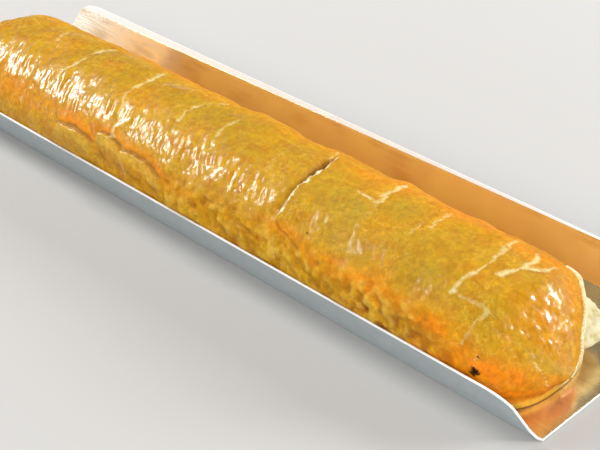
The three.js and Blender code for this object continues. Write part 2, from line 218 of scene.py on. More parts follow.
@dataclass(frozen=True)
class RollForm:
    """Sizes of the roll, in millimetres, the same as those of its solid."""

    tray: TrayForm = TrayForm()
    left: float = -154.6
    right: float = 177.8
    middle_y: float = -18.2
    half_width: float = 32.4
    widest_z: float = 20.2
    crown_rise: float = 20.1
    belly_drop: float = 23.0
    crown_power: float = 2.2
    belly_power: float = 2.4
    touch_gap: float = 0.35
    right_cap: float = 19.0
    right_cap_power: float = 1.5
    right_taper_run: float = 35.0
    right_taper: float = 0.26
    left_cap: float = 20.0
    left_cap_power: float = 2.3
    pivot_z: float = 8.7
    lip_reach: float = 173.8
    lip_half_width: float = 24.0
    lip_corner: float = 13.0
    lip_power: float = 2.6
    lip_height: float = 3.4
    lip_start: float = 140.0
    lip_spread: float = 1.5
    lip_blend: Ramp = (0.35, 0.75)
    nose_step: float = 0.8

    @property
    def resting_z(self) -> float:
        """The height of the roll's underside on the tray's floor."""
        return self.tray.thickness + self.touch_gap

    def fullness(self, x: np.ndarray) -> np.ndarray:
        """How full the roll is at a place along it.

        Args:
            x: Places along the roll.

        Returns:
            A share, 1 along the roll's middle and 0 at its tips.
        """
        taper = np.clip(1.0 - (self.right - x) / self.right_taper_run, 0.0, 1.0)
        right = np.clip(1.0 - (self.right - x) / self.right_cap, 0.0, 1.0)
        left = np.clip(1.0 - (x - self.left) / self.left_cap, 0.0, 1.0)
        right_share = (1.0 - right**self.right_cap_power) ** (1.0 / self.right_cap_power)
        left_share = (1.0 - left**self.left_cap_power) ** (1.0 / self.left_cap_power)
        return (1.0 - self.right_taper * taper**2) * right_share * left_share

    def underside(self, x: np.ndarray, share: np.ndarray) -> np.ndarray:
        """The height of the underside: on the tray, then under the nose that hangs over the lip.

        Args:
            x: Places along the roll.
            share: How full the roll is there.

        Returns:
            The heights.
        """
        at_left = self.pivot_z + (self.resting_z - self.pivot_z) * share
        past = np.clip((x - self.lip_reach) / (self.right - self.lip_reach), 0.0, 1.0)
        under_nose = self.lip_height + (self.pivot_z - self.lip_height) * past
        step = smooth(x, self.lip_reach, self.lip_reach + self.nose_step)
        at_right = self.resting_z + (under_nose - self.resting_z) * step
        return np.where(x < 0.0, at_left, at_right)

    def lip_width_at(self, x: np.ndarray) -> np.ndarray:
        """The half width of the base sheet under the right end, 0 beyond its lip."""
        along = np.clip((x - self.lip_reach + self.lip_corner) / self.lip_corner, 0.0, 1.0)
        return self.lip_half_width * (1.0 - along**self.lip_power) ** (1.0 / self.lip_power)

    def section(self, x: np.ndarray, angle: np.ndarray) -> np.ndarray:
        """Points of the smooth rounded roll.

        Args:
            x: Places along the roll.
            angle: Angles round it, 0 on the far side and a quarter turn at the top.

        Returns:
            The points, with the three coordinates on the last axis.
        """
        share = self.fullness(x)
        across = np.cos(angle)
        up = np.sin(angle)
        widest = self.pivot_z + (self.widest_z - self.pivot_z) * share
        crown_y = self.half_width * share * rounded(across, self.crown_power)
        crown_z = widest + self.crown_rise * share * rounded(up, self.crown_power)
        underside = self.underside(x, share)
        depth = (widest - underside) / (self.widest_z - self.resting_z)
        belly_z = np.maximum(widest + self.belly_drop * depth * rounded(up, self.belly_power), underside)
        low = smooth(-up, *self.lip_blend) * smooth(x, self.lip_start, self.lip_reach - self.lip_corner)
        body_y = self.half_width * share * rounded(across, self.belly_power)
        lip_y = self.lip_width_at(x) * np.clip(across * self.lip_spread, -1.0, 1.0)
        belly_y = body_y + (lip_y - body_y) * low
        y = self.middle_y + np.where(up >= 0.0, crown_y, belly_y)
        z = np.where(up >= 0.0, crown_z, belly_z)
        return np.stack([x + 0.0 * y, y, z], axis=-1)


@dataclass(frozen=True)
class DoughForm:
    """Sizes of the run of dough, in millimetres, the same as those of its solid."""

    roll: RollForm = RollForm()
    crust: float = 5.0
    left: float = -145.0
    right: float = 174.3
    turn_start: float = 134.0
    mouth_y: float = 4.0
    mouth_z: float = 11.6
    mouth_half_width: float = 12.5
    mouth_half_height: float = 7.2
    free_x: float = 158.0
    free_run: float = 6.0

    def outline(self, x: np.ndarray) -> tuple[np.ndarray, np.ndarray, np.ndarray, np.ndarray]:
        """The run's section at a place along it.

        Args:
            x: Places along the roll.

        Returns:
            The section's middle across and up, and its half width and half height.
        """
        turn = smooth(x, self.turn_start, self.free_x + self.free_run)
        wide = self.roll.half_width - self.crust
        high = self.roll.crown_rise - self.crust
        half_width = wide + (self.mouth_half_width - wide) * turn
        half_height = high + (self.mouth_half_height - high) * turn
        middle_y = self.roll.middle_y + (self.mouth_y - self.roll.middle_y) * turn
        middle_z = self.roll.widest_z + (self.mouth_z - self.roll.widest_z) * turn
        return middle_y, middle_z, half_width, half_height

    def nearness(self, points: np.ndarray) -> np.ndarray:
        """How far points lie from the run's middle line.

        Args:
            points: The points, with the three coordinates on the last axis.

        Returns:
            Distances, where 1 is the run's surface.
        """
        middle_y, middle_z, half_width, half_height = self.outline(points[..., 0])
        across = (points[..., 1] - middle_y) / half_width
        up = (points[..., 2] - middle_z) / half_height
        return np.hypot(across, up)


@dataclass(frozen=True)
class Crack:
    """A crack or crease of the glaze, as the places that it passes: along the roll, and degrees round it."""

    places: tuple[tuple[float, float], ...]
    half_width: float = 1.0
    strength: float = 1.0
    mask: Mask = Mask.CRACK


@dataclass(frozen=True)
class Lobe:
    """A lobe of the loose layer low on the near side.

    It has a start and an end along the roll, the angle of its upper edge, and how many degrees that
    edge dips towards the end.
    """

    start: float
    end: float
    edge: float
    dip: float


@dataclass(frozen=True)
class Patch:
    """A broad patch of colour on the crust with soft edges: its middle, half sizes and strength.

    Lengths are in millimetres along the roll and angles in degrees round it.
    """

    mask: Mask
    place: float
    angle: float
    half_length: float
    half_angle: float
    strength: float


PATCHES = (
    Patch(Mask.ORANGE, -105.0, 152.0, 30.0, 16.0, 0.45),
    Patch(Mask.ORANGE, -62.0, 148.0, 34.0, 9.0, 0.40),
    Patch(Mask.ORANGE, -60.0, 38.0, 60.0, 16.0, 0.35),
    Patch(Mask.ORANGE, 25.0, 40.0, 45.0, 17.0, 0.40),
    Patch(Mask.ORANGE, 112.0, 48.0, 36.0, 18.0, 0.60),
    Patch(Mask.ORANGE, 150.0, 58.0, 20.0, 14.0, 0.60),
    Patch(Mask.ORANGE, 66.0, 149.0, 9.0, 6.0, 0.65),
    Patch(Mask.ORANGE, 108.0, 156.0, 40.0, 11.0, 0.50),
    Patch(Mask.ORANGE, -15.0, 164.0, 40.0, 11.0, 0.35),
    # Orange low under the nose: partly browning, partly painted light reflected up from the foil.
    Patch(Mask.ORANGE, 160.0, 180.0, 20.0, 17.0, 0.90),
    Patch(Mask.ORANGE, 140.0, 158.0, 12.0, 10.0, 0.60),
    Patch(Mask.ORANGE, 80.0, 62.0, 22.0, 15.0, 0.50),
    Patch(Mask.ORANGE, 168.0, 100.0, 8.0, 40.0, 0.30),
    Patch(Mask.OLIVE, -70.0, 82.0, 40.0, 24.0, 0.35),
    Patch(Mask.OLIVE, 0.0, 86.0, 45.0, 24.0, 0.45),
    Patch(Mask.OLIVE, 92.0, 98.0, 32.0, 24.0, 0.80),
    Patch(Mask.OLIVE, 112.0, 126.0, 34.0, 20.0, 0.70),
    Patch(Mask.OLIVE, 156.0, 118.0, 9.0, 22.0, 0.55),
    Patch(Mask.OLIVE, 164.0, 140.0, 8.0, 16.0, 0.75),
    # The next three patches: browning low on the near side, deepened with painted shade along the tray's
    # wall.
    Patch(Mask.BROWN_AND_SHADE, -10.0, 174.0, 30.0, 14.0, 0.35),
    Patch(Mask.BROWN_AND_SHADE, 45.0, 172.0, 45.0, 16.0, 0.50),
    Patch(Mask.BROWN_AND_SHADE, 115.0, 181.0, 36.0, 18.0, 1.00),
    Patch(Mask.BROWN_AND_SHADE, 132.0, 46.0, 32.0, 9.0, 0.30),
)

CRACKS = (
    Crack(((-120.0, -8.0), (-118.0, 14.0), (-112.0, 34.0), (-109.0, 46.0)), 0.8, 0.6),
    Crack(((-62.0, -10.0), (-57.0, 12.0), (-58.0, 30.0)), 0.75, 0.5),
    Crack(((8.0, -6.0), (14.0, 20.0), (12.0, 40.0)), 0.85, 0.65),
    Crack(((66.0, 2.0), (70.0, 24.0), (79.0, 38.0)), 0.7, 0.5),
    Crack(((126.0, -8.0), (124.0, 16.0), (131.0, 36.0)), 0.9, 0.75),
    Crack(((-114.7, 62.0), (-114.7, 67.0), (-109.0, 85.0), (-103.3, 92.0)), 0.9, 0.65),
    Crack(((-84.3, 55.0), (-85.5, 76.0), (-84.4, 90.0), (-83.0, 103.0), (-82.2, 123.0)), 1.2, 0.85),
    Crack(((-92.0, 140.0), (-93.3, 155.0), (-92.0, 167.0)), 0.9, 0.6),
    Crack(((-53.1, 54.0), (-50.2, 70.0), (-47.3, 90.0), (-44.4, 106.0), (-37.6, 126.0), (-32.4, 146.0)),
          1.0, 0.85),
    Crack(((-34.8, 91.0), (-28.5, 85.0), (-29.6, 67.0)), 0.65, 0.4),
    Crack(((-13.4, 104.0), (-16.7, 88.0), (-15.1, 75.0), (-9.7, 62.0)), 0.9, 0.8),
    Crack(((11.7, 115.0), (7.8, 99.0), (6.4, 88.0), (4.1, 68.0)), 0.9, 0.7),
    Crack(((42.1, 112.0), (39.1, 101.0), (37.6, 87.0), (35.1, 68.0)), 0.7, 0.45),
    Crack(((78.1, 89.0), (88.1, 91.0), (86.3, 71.0), (84.5, 54.0)), 0.95, 0.95),
    Crack(((88.1, 91.0), (90.6, 97.0), (89.5, 108.0), (90.9, 119.0), (98.1, 145.0)), 0.8, 0.45),
    Crack(((110.0, 62.0), (111.9, 79.0), (113.1, 90.0)), 0.8, 0.7),
    Crack(((109.4, 88.0), (110.3, 102.0)), 0.7, 0.5),
    Crack(((136.6, 48.0), (138.2, 69.0), (139.9, 85.0), (141.6, 96.0), (141.2, 106.0), (139.1, 115.0),
           (140.3, 128.0)), 1.0, 0.9),
    Crack(((148.1, 97.0), (151.0, 86.0), (150.9, 70.5), (147.4, 55.0)), 1.2, 1.0),
    Crack(((151.0, 84.0), (153.6, 79.0), (157.0, 74.5), (156.7, 58.0)), 1.2, 1.0),
    Crack(((143.4, 128.0), (150.0, 126.0), (155.1, 128.0), (153.2, 143.0), (153.1, 163.0)), 0.85, 0.6),
    Crack(((155.1, 128.0), (159.6, 129.0)), 0.7, 0.5),
    Crack(((170.2, 136.0), (171.8, 148.0), (173.2, 159.5), (174.3, 182.0), (175.1, 197.0)), 0.6, 0.85),
    Crack(((54.5, 72.0), (50.6, 67.0), (45.7, 45.0)), 0.8, 0.8),
    Crack(((-24.7, 155.5), (-22.2, 169.0), (-20.4, 181.5)), 0.8, 0.55),
    Crack(((62.9, 161.0), (65.4, 171.5), (66.0, 182.0)), 0.6, 0.4),
    Crack(((77.1, 151.0), (79.0, 164.5)), 0.6, 0.4),
    Crack(((159.0, 166.0), (158.8, 172.0), (159.4, 179.0)), 0.5, 0.6),
    # From here on, dark creases: painted shade down their hollows.
    Crack(((-74.7, 138.0), (-69.8, 147.0), (-66.1, 158.0)), 0.7, 0.35, Mask.BROWN_AND_SHADE),
    Crack(((-53.7, 136.0), (-48.2, 145.5), (-42.6, 155.5)), 0.7, 0.35, Mask.BROWN_AND_SHADE),
    Crack(((-37.7, 161.5), (-36.4, 172.0), (-35.2, 181.5)), 0.8, 0.6, Mask.BROWN_AND_SHADE),
    Crack(((61.7, 145.0), (66.0, 149.5), (70.4, 154.0), (77.1, 160.5)), 0.5, 0.6, Mask.BROWN_AND_SHADE),
    Crack(((80.2, 125.5), (83.3, 139.0), (80.8, 154.0)), 0.6, 0.3, Mask.BROWN_AND_SHADE),
    Crack(((25.9, 156.0), (30.8, 158.0), (35.8, 156.5)), 0.7, 0.5, Mask.BROWN_AND_SHADE),
    Crack(((44.4, 164.5), (50.0, 164.5), (56.2, 169.0)), 0.7, 0.5, Mask.BROWN_AND_SHADE),
)

# Where the tear runs, as places along the roll and degrees round it.
TEAR = ((52.5, 53.0), (53.1, 65.5), (54.9, 77.5), (56.2, 88.5), (58.0, 100.5), (57.8, 109.5), (60.5, 128.5),
        (60.5, 146.0))

# The crust's edge over the open corner, in the same way.
MOUTH_EDGE = ((150.0, -60.0), (152.5, 25.0), (156.1, 48.0), (159.2, 46.5), (161.6, 44.0), (164.2, 40.5),
              (166.8, 41.0), (169.6, 38.5), (172.2, 36.5), (174.3, 31.0), (176.5, 8.0))

LOBES = (
    Lobe(-66.0, -40.5, 158.5, 3.0),
    Lobe(-39.5, -25.5, 149.0, 2.0),
    Lobe(-26.5, 3.0, 153.0, 9.0),
)


def linear(hex_colour: str) -> tuple[float, ...]:
    """An sRGB hex colour as linear red, green, blue and alpha.

    The numbers are those of the sRGB curve.

    Args:
        hex_colour: Six hex digits after a hash sign.

    Returns:
        The linear colour.
    """
    values = [int(hex_colour[i : i + 2], 16) / 255.0 for i in (1, 3, 5)]
    parts = [v / 12.92 if v <= 0.04045 else ((v + 0.055) / 1.055) ** 2.4 for v in values]
    return (*parts, 1.0)


def repeats(size_mm: float) -> float:
    """How many times a pattern of a size repeats in a metre."""
    return 1.0 / (size_mm * MM)


def set_inputs(tree: Tree, node: bpy.types.Node, inputs: dict) -> None:
    """Gives a node's inputs their values or links.

    Args:
        tree: The node's tree.
        node: The node.
        inputs: Values or sockets for the inputs, by name or number.
    """
    for key, value in inputs.items():
        if isinstance(value, Socket):
            tree.links.new(value, node.inputs[key])
        else:
            node.inputs[key].default_value = value


def add_node(
    tree: Tree, kind: str, settings: dict | None = None, inputs: dict | None = None
) -> bpy.types.Node:
    """Adds a node with its settings and links.

    Args:
        tree: The material's node tree.
        kind: The node's type name.
        settings: The node's own properties.
        inputs: Values or sockets for the inputs, by name or number.

    Returns:
        The new node.
    """
    node = tree.nodes.new(kind)
    for name, value in (settings or {}).items():
        setattr(node, name, value)
    set_inputs(tree, node, inputs or {})
    return node


def new_material(name: str) -> tuple[bpy.types.Material, Tree, bpy.types.Node]:
    """An empty material with its shader and output.

    Args:
        name: The material's name.

    Returns:
        The material, its node tree and its shader node.
    """
    material = bpy.data.materials.new(name)
    material.use_nodes = True
    tree = material.node_tree
    tree.nodes.clear()
    shader = add_node(tree, "ShaderNodeBsdfPrincipled")
    add_node(tree, "ShaderNodeOutputMaterial", None, {"Surface": shader.outputs["BSDF"]})
    return material, tree, shader


@dataclass(frozen=True)
class GlazedPastry:
    """Egg-washed puff pastry, baked: a thin varnish of egg over a flaky golden crust.

    The egg gives wet-looking highlights that the crust's wrinkles break into dashes. It is
    golden ochre on top, orange where it caught the heat, and pale where the glaze tore open.
    Its masks also paint shade by the tray's wall, in creases, grooves and sunk folds, and paint
    light on the lobes and risen folds.
    """

    golden: str = "#C8960E"
    ochre: str = "#BC780A"
    flake: str = "#E0B544"
    # The dark layer is partly browning and partly painted shade, and the pale one partly paler pastry and
    # partly painted light.
    soft_layers: tuple[tuple[Mask, str], ...] = (
        (Mask.ORANGE, "#F08608"),
        (Mask.OLIVE, "#AE9020"),
        (Mask.BROWN_AND_SHADE, "#84480A"),
        (Mask.PALE_AND_LIT, "#E0B544"),
    )
    # These end in a sharp ragged edge, over the mask's range that follows the colour.
    sharp_layers: tuple[tuple[Mask, str, Ramp], ...] = (
        (Mask.CRACK, "#EADB9C", (0.25, 1.1)),
        (Mask.RAW, "#F6EAC0", (0.3, 0.6)),
        (Mask.BURNT, "#170A04", (0.45, 0.95)),
    )
    edge_mm: float = 1.1
    edge_noise: Ramp = (0.3, 0.7)
    edge_share: Ramp = (0.7, 1.3)
    mottle_mm: float = 6.0
    mottle_noise: Ramp = (0.38, 0.66)
    mottle_share: float = 0.75
    marble_mm: float = 2.2
    marble_noise: Ramp = (0.3, 0.7)
    marble_shade: Ramp = (0.8, 1.13)
    # Flaked layers leave pale lines where the noise passes its middle, in patches.
    vein_mm: float = 5.0
    vein_half_width: float = 0.02
    vein_patch_mm: float = 24.0
    vein_patch_noise: Ramp = (0.42, 0.58)
    vein_share: float = 0.5
    streak_mm: Ramp = (1.7, 8.0)
    streak_noise: Ramp = (0.54, 0.72)
    streak_share: float = 0.25
    grain_mm: float = 1.3
    wrinkle_mm: Ramp = (1.3, 4.2)
    wrinkle_lean: float = 0.5
    # Each bump is a strength and a depth in millimetres.
    flake_bump: Ramp = (0.22, 0.3)
    grain_bump: Ramp = (0.28, 0.26)
    wrinkle_bump: Ramp = (0.38, 0.35)
    # The egg gathers in short films between thinner places.
    dash_mm: Ramp = (1.6, 3.0)
    dash_noise: Ramp = (0.4, 0.52)
    egg_film: float = 0.95
    thin_egg: float = 0.25
    egg_roughness: float = 0.13
    crust_roughness: float = 0.38
    dry_roughness: float = 0.75
    crust_shine: float = 0.3
    ior: float = 1.47

    def unrolled(self, tree: Tree, place: Socket, size_mm: Ramp) -> Socket:
        """The crust's surface laid flat, in units of a pattern's length along and round the roll.

        Args:
            tree: The material's node tree.
            place: The point's place.
            size_mm: The pattern's sizes along the roll and round it.

        Returns:
            A vector socket.
        """
        along = add_node(tree, "ShaderNodeSeparateXYZ", None, {0: place}).outputs["X"]
        around = add_node(tree, "ShaderNodeAttribute", {"attribute_name": AROUND}).outputs["Fac"]
        leaning = add_node(tree, "ShaderNodeMath", {"operation": "MULTIPLY_ADD"}, {
            0: around, 1: self.wrinkle_lean, 2: along})
        flat = add_node(tree, "ShaderNodeCombineXYZ", None, {"X": leaning.outputs[0], "Y": around})
        scaled = add_node(tree, "ShaderNodeVectorMath", {"operation": "MULTIPLY"}, {
            0: flat.outputs[0], 1: (repeats(size_mm[0]), repeats(size_mm[1]), 1.0)})
        return scaled.outputs[0]

    def colour(self, tree: Tree, place: Socket, flakes: Socket) -> Socket:
        """The crust's colour: mottled gold with pale flaked lines, then what the masks lay over it.

        Args:
            tree: The material's node tree.
            place: The point's place.
            flakes: The flaky layers' pattern.

        Returns:
            A colour socket.
        """
        mottle = add_node(tree, "ShaderNodeTexNoise", None, {
            "Vector": place, "Scale": repeats(self.mottle_mm), "Detail": 3.0, "Roughness": 0.55})
        tone = add_node(tree, "ShaderNodeMapRange", None, {
            "Value": mottle.outputs["Fac"], "From Min": self.mottle_noise[0],
            "From Max": self.mottle_noise[1], "To Max": self.mottle_share})
        colour = add_node(tree, "ShaderNodeMix", BLEND, {
            FACTOR: tone.outputs["Result"], UNDER: linear(self.golden), OVER: linear(self.ochre)})
        crazing = add_node(tree, "ShaderNodeTexNoise", None, {
            "Vector": place, "Scale": repeats(self.vein_mm), "Detail": 3.0, "Roughness": 0.6,
            "Distortion": 0.6})
        line = add_node(tree, "ShaderNodeMath", {"operation": "COMPARE"}, {
            0: crazing.outputs["Fac"], 1: 0.5, 2: self.vein_half_width})
        patch = add_node(tree, "ShaderNodeTexNoise", None, {
            "Vector": place, "Scale": repeats(self.vein_patch_mm), "Detail": 1.0})
        patch_share = add_node(tree, "ShaderNodeMapRange", None, {
            "Value": patch.outputs["Fac"], "From Min": self.vein_patch_noise[0],
            "From Max": self.vein_patch_noise[1], "To Max": self.vein_share})
        veins = add_node(tree, "ShaderNodeMath", {"operation": "MULTIPLY"}, {
            0: line.outputs[0], 1: patch_share.outputs["Result"]})
        streak = add_node(tree, "ShaderNodeTexNoise", None, {
            "Vector": self.unrolled(tree, place, self.streak_mm), "Scale": 1.0, "Detail": 2.0})
        streaks = add_node(tree, "ShaderNodeMapRange", None, {
            "Value": streak.outputs["Fac"], "From Min": self.streak_noise[0],
            "From Max": self.streak_noise[1], "To Max": self.streak_share})
        for share in (veins.outputs[0], streaks.outputs["Result"]):
            colour = add_node(tree, "ShaderNodeMix", BLEND, {
                FACTOR: share, UNDER: colour.outputs[MIXED], OVER: linear(self.flake)})
        for mask, layer in self.soft_layers:
            share = add_node(tree, "ShaderNodeAttribute", {"attribute_name": mask.value})
            colour = add_node(tree, "ShaderNodeMix", BLEND, {
                FACTOR: share.outputs["Fac"], UNDER: colour.outputs[MIXED], OVER: linear(layer)})
        shade = add_node(tree, "ShaderNodeMapRange", None, {
            "Value": flakes, "From Min": self.marble_noise[0], "From Max": self.marble_noise[1],
            "To Min": self.marble_shade[0], "To Max": self.marble_shade[1]})
        colour = add_node(tree, "ShaderNodeMix", {**BLEND, "blend_type": "MULTIPLY"}, {
            FACTOR: 1.0, UNDER: colour.outputs[MIXED], OVER: shade.outputs["Result"]})
        ragged = add_node(tree, "ShaderNodeTexNoise", None, {
            "Vector": place, "Scale": repeats(self.edge_mm), "Detail": 3.0, "Roughness": 0.7})
        uneven = add_node(tree, "ShaderNodeMapRange", None, {
            "Value": ragged.outputs["Fac"], "From Min": self.edge_noise[0], "From Max": self.edge_noise[1],
            "To Min": self.edge_share[0], "To Max": self.edge_share[1]})
        for mask, layer, ramp in self.sharp_layers:
            share = add_node(tree, "ShaderNodeAttribute", {"attribute_name": mask.value})
            broken = add_node(tree, "ShaderNodeMath", {"operation": "MULTIPLY"}, {
                0: share.outputs["Fac"], 1: uneven.outputs["Result"]})
            edge = add_node(tree, "ShaderNodeMapRange", None, {
                "Value": broken.outputs[0], "From Min": ramp[0], "From Max": ramp[1]})
            colour = add_node(tree, "ShaderNodeMix", BLEND, {
                FACTOR: edge.outputs["Result"], UNDER: colour.outputs[MIXED], OVER: linear(layer)})
        return colour.outputs[MIXED]

    def relief(self, tree: Tree, place: Socket, flakes: Socket) -> Socket:
        """The relief that is too fine for the mesh: flakes and grain under wrinkles round the roll.

        Args:
            tree: The material's node tree.
            place: The point's place.
            flakes: The flaky layers' pattern.

        Returns:
            A normal socket.
        """
        grain = add_node(tree, "ShaderNodeTexNoise", None, {
            "Vector": place, "Scale": repeats(self.grain_mm), "Detail": 2.0, "Roughness": 0.5})
        wrinkles = add_node(tree, "ShaderNodeTexNoise", None, {
            "Vector": self.unrolled(tree, place, self.wrinkle_mm), "Scale": 1.0, "Detail": 2.0,
            "Roughness": 0.5})
        bump = add_node(tree, "ShaderNodeBump", None, {
            "Strength": self.flake_bump[0], "Distance": self.flake_bump[1] * MM, "Height": flakes})
        for height, (strength, depth) in ((grain, self.grain_bump), (wrinkles, self.wrinkle_bump)):
            bump = add_node(tree, "ShaderNodeBump", None, {
                "Strength": strength, "Distance": depth * MM, "Height": height.outputs["Fac"],
                "Normal": bump.outputs["Normal"]})
        return bump.outputs["Normal"]

    def material(self) -> bpy.types.Material:
        """Builds the material.

        Returns:
            The finished material.
        """
        material, tree, shader = new_material("egg_glazed_pastry")
        place = add_node(tree, "ShaderNodeNewGeometry").outputs["Position"]
        flakes = add_node(tree, "ShaderNodeTexNoise", None, {
            "Vector": place, "Scale": repeats(self.marble_mm), "Detail": 2.5, "Roughness": 0.6,
            "Distortion": 0.5}).outputs["Fac"]
        dry = add_node(tree, "ShaderNodeAttribute", {"attribute_name": Mask.DRY.value}).outputs["Fac"]
        rough = add_node(tree, "ShaderNodeMapRange", None, {
            "Value": dry, "To Min": self.crust_roughness, "To Max": self.dry_roughness})
        egg = add_node(tree, "ShaderNodeMapRange", None, {
            "Value": dry, "To Min": self.egg_film, "To Max": 0.0})
        dashes = add_node(tree, "ShaderNodeTexNoise", None, {
            "Vector": self.unrolled(tree, place, self.dash_mm), "Scale": 1.0, "Detail": 1.0})
        film = add_node(tree, "ShaderNodeMapRange", None, {
            "Value": dashes.outputs["Fac"], "From Min": self.dash_noise[0], "From Max": self.dash_noise[1],
            "To Min": self.thin_egg, "To Max": 1.0})
        weight = add_node(tree, "ShaderNodeMath", {"operation": "MULTIPLY"}, {
            0: egg.outputs["Result"], 1: film.outputs["Result"]})
        normal = self.relief(tree, place, flakes)
        set_inputs(tree, shader, {
            "Base Color": self.colour(tree, place, flakes), "Roughness": rough.outputs["Result"],
            "Normal": normal, "Coat Normal": normal, "Coat Weight": weight.outputs[0],
            "Coat Roughness": self.egg_roughness, "Specular IOR Level": self.crust_shine, "IOR": self.ior})
        return material


@dataclass(frozen=True)
class PaleDough:
    """Soft dough that the oven has set but not browned: cream, matt and full of small bubbles."""

    cream: str = "#DED4AC"
    shade: str = "#C4B16C"
    bubble_mm: float = 3.2
    bubble_bump: Ramp = (0.5, 0.5)
    roughness: float = 0.55
    ior: float = 1.45

    def material(self) -> bpy.types.Material:
        """Builds the material.

        Returns:
            The finished material.
        """
        material, tree, shader = new_material("soft_pale_dough")
        place = add_node(tree, "ShaderNodeNewGeometry").outputs["Position"]
        bubbles = add_node(tree, "ShaderNodeTexVoronoi", {"feature": "SMOOTH_F1"}, {
            "Vector": place, "Scale": repeats(self.bubble_mm), "Smoothness": 0.6})
        # The shade colour is painted shade, laid in the hollows between lumps and low down.
        hollow = add_node(tree, "ShaderNodeAttribute", {"attribute_name": DOUGH_SHADE})
        colour = add_node(tree, "ShaderNodeMix", BLEND, {
            FACTOR: hollow.outputs["Fac"], UNDER: linear(self.cream), OVER: linear(self.shade)})
        bump = add_node(tree, "ShaderNodeBump", {"invert": True}, {
            "Strength": self.bubble_bump[0], "Distance": self.bubble_bump[1] * MM,
            "Height": bubbles.outputs["Distance"]})
        set_inputs(tree, shader, {
            "Base Color": colour.outputs[MIXED], "Normal": bump.outputs["Normal"],
            "Roughness": self.roughness, "IOR": self.ior})
        return material


@dataclass(frozen=True)
class GoldFoil:
    """Gold-lacquered aluminium foil rolled onto card: a soft mirror with streaks along it.

    The rolls leave lines about a tenth of a millimetre apart. They are drawn 0.8 mm apart to show.
    """

    gold: str = "#FFE7B4"
    cloud: str = "#DDB878"
    cloud_mm: Ramp = (30.0, 11.0)
    cloud_noise: Ramp = (0.68, 0.96)
    streak_mm: Ramp = (14.0, 0.8)
    streak_noise: Ramp = (0.3, 0.7)
    streak_share: float = 0.35
    streak_bump: Ramp = (0.18, 0.1)
    metallic: float = 0.85
    roughness: float = 0.19
    roughness_range: Ramp = (0.8, 1.3)

    def stretched(self, tree: Tree, place: Socket, size_mm: Ramp) -> Socket:
        """The point's place in units of a pattern's length along the tray and across it.

        Args:
            tree: The material's node tree.
            place: The point's place.
            size_mm: The pattern's sizes along the tray and across it.

        Returns:
            A vector socket.
        """
        along, across = (repeats(size) for size in size_mm)
        scaled = add_node(tree, "ShaderNodeVectorMath", {"operation": "MULTIPLY"}, {
            0: place, 1: (along, across, across)})
        return scaled.outputs[0]

    def material(self) -> bpy.types.Material:
        """Builds the material.

        Returns:
            The finished material.
        """
        material, tree, shader = new_material("gold_lacquered_foil")
        place = add_node(tree, "ShaderNodeNewGeometry").outputs["Position"]
        streaks = add_node(tree, "ShaderNodeTexNoise", None, {
            "Vector": self.stretched(tree, place, self.streak_mm), "Scale": 1.0, "Detail": 3.0,
            "Roughness": 0.6})
        clouds = add_node(tree, "ShaderNodeTexNoise", None, {
            "Vector": self.stretched(tree, place, self.cloud_mm), "Scale": 1.0, "Detail": 2.0,
            "Roughness": 0.5})
        rough = add_node(tree, "ShaderNodeMapRange", None, {
            "Value": streaks.outputs["Fac"], "From Min": self.streak_noise[0],
            "From Max": self.streak_noise[1], "To Min": self.roughness * self.roughness_range[0],
            "To Max": self.roughness * self.roughness_range[1]})
        bump = add_node(tree, "ShaderNodeBump", None, {
            "Strength": self.streak_bump[0], "Distance": self.streak_bump[1] * MM,
            "Height": streaks.outputs["Fac"]})
        both = add_node(tree, "ShaderNodeMath", {"operation": "MULTIPLY_ADD"}, {
            0: streaks.outputs["Fac"], 1: self.streak_share, 2: clouds.outputs["Fac"]})
        share = add_node(tree, "ShaderNodeMapRange", None, {
            "Value": both.outputs[0], "From Min": self.cloud_noise[0], "From Max": self.cloud_noise[1]})
        colour = add_node(tree, "ShaderNodeMix", BLEND, {
            FACTOR: share.outputs["Result"], UNDER: linear(self.gold), OVER: linear(self.cloud)})
        set_inputs(tree, shader, {
            "Base Color": colour.outputs[MIXED], "Metallic": self.metallic,
            "Roughness": rough.outputs["Result"], "Normal": bump.outputs["Normal"]})
        return material


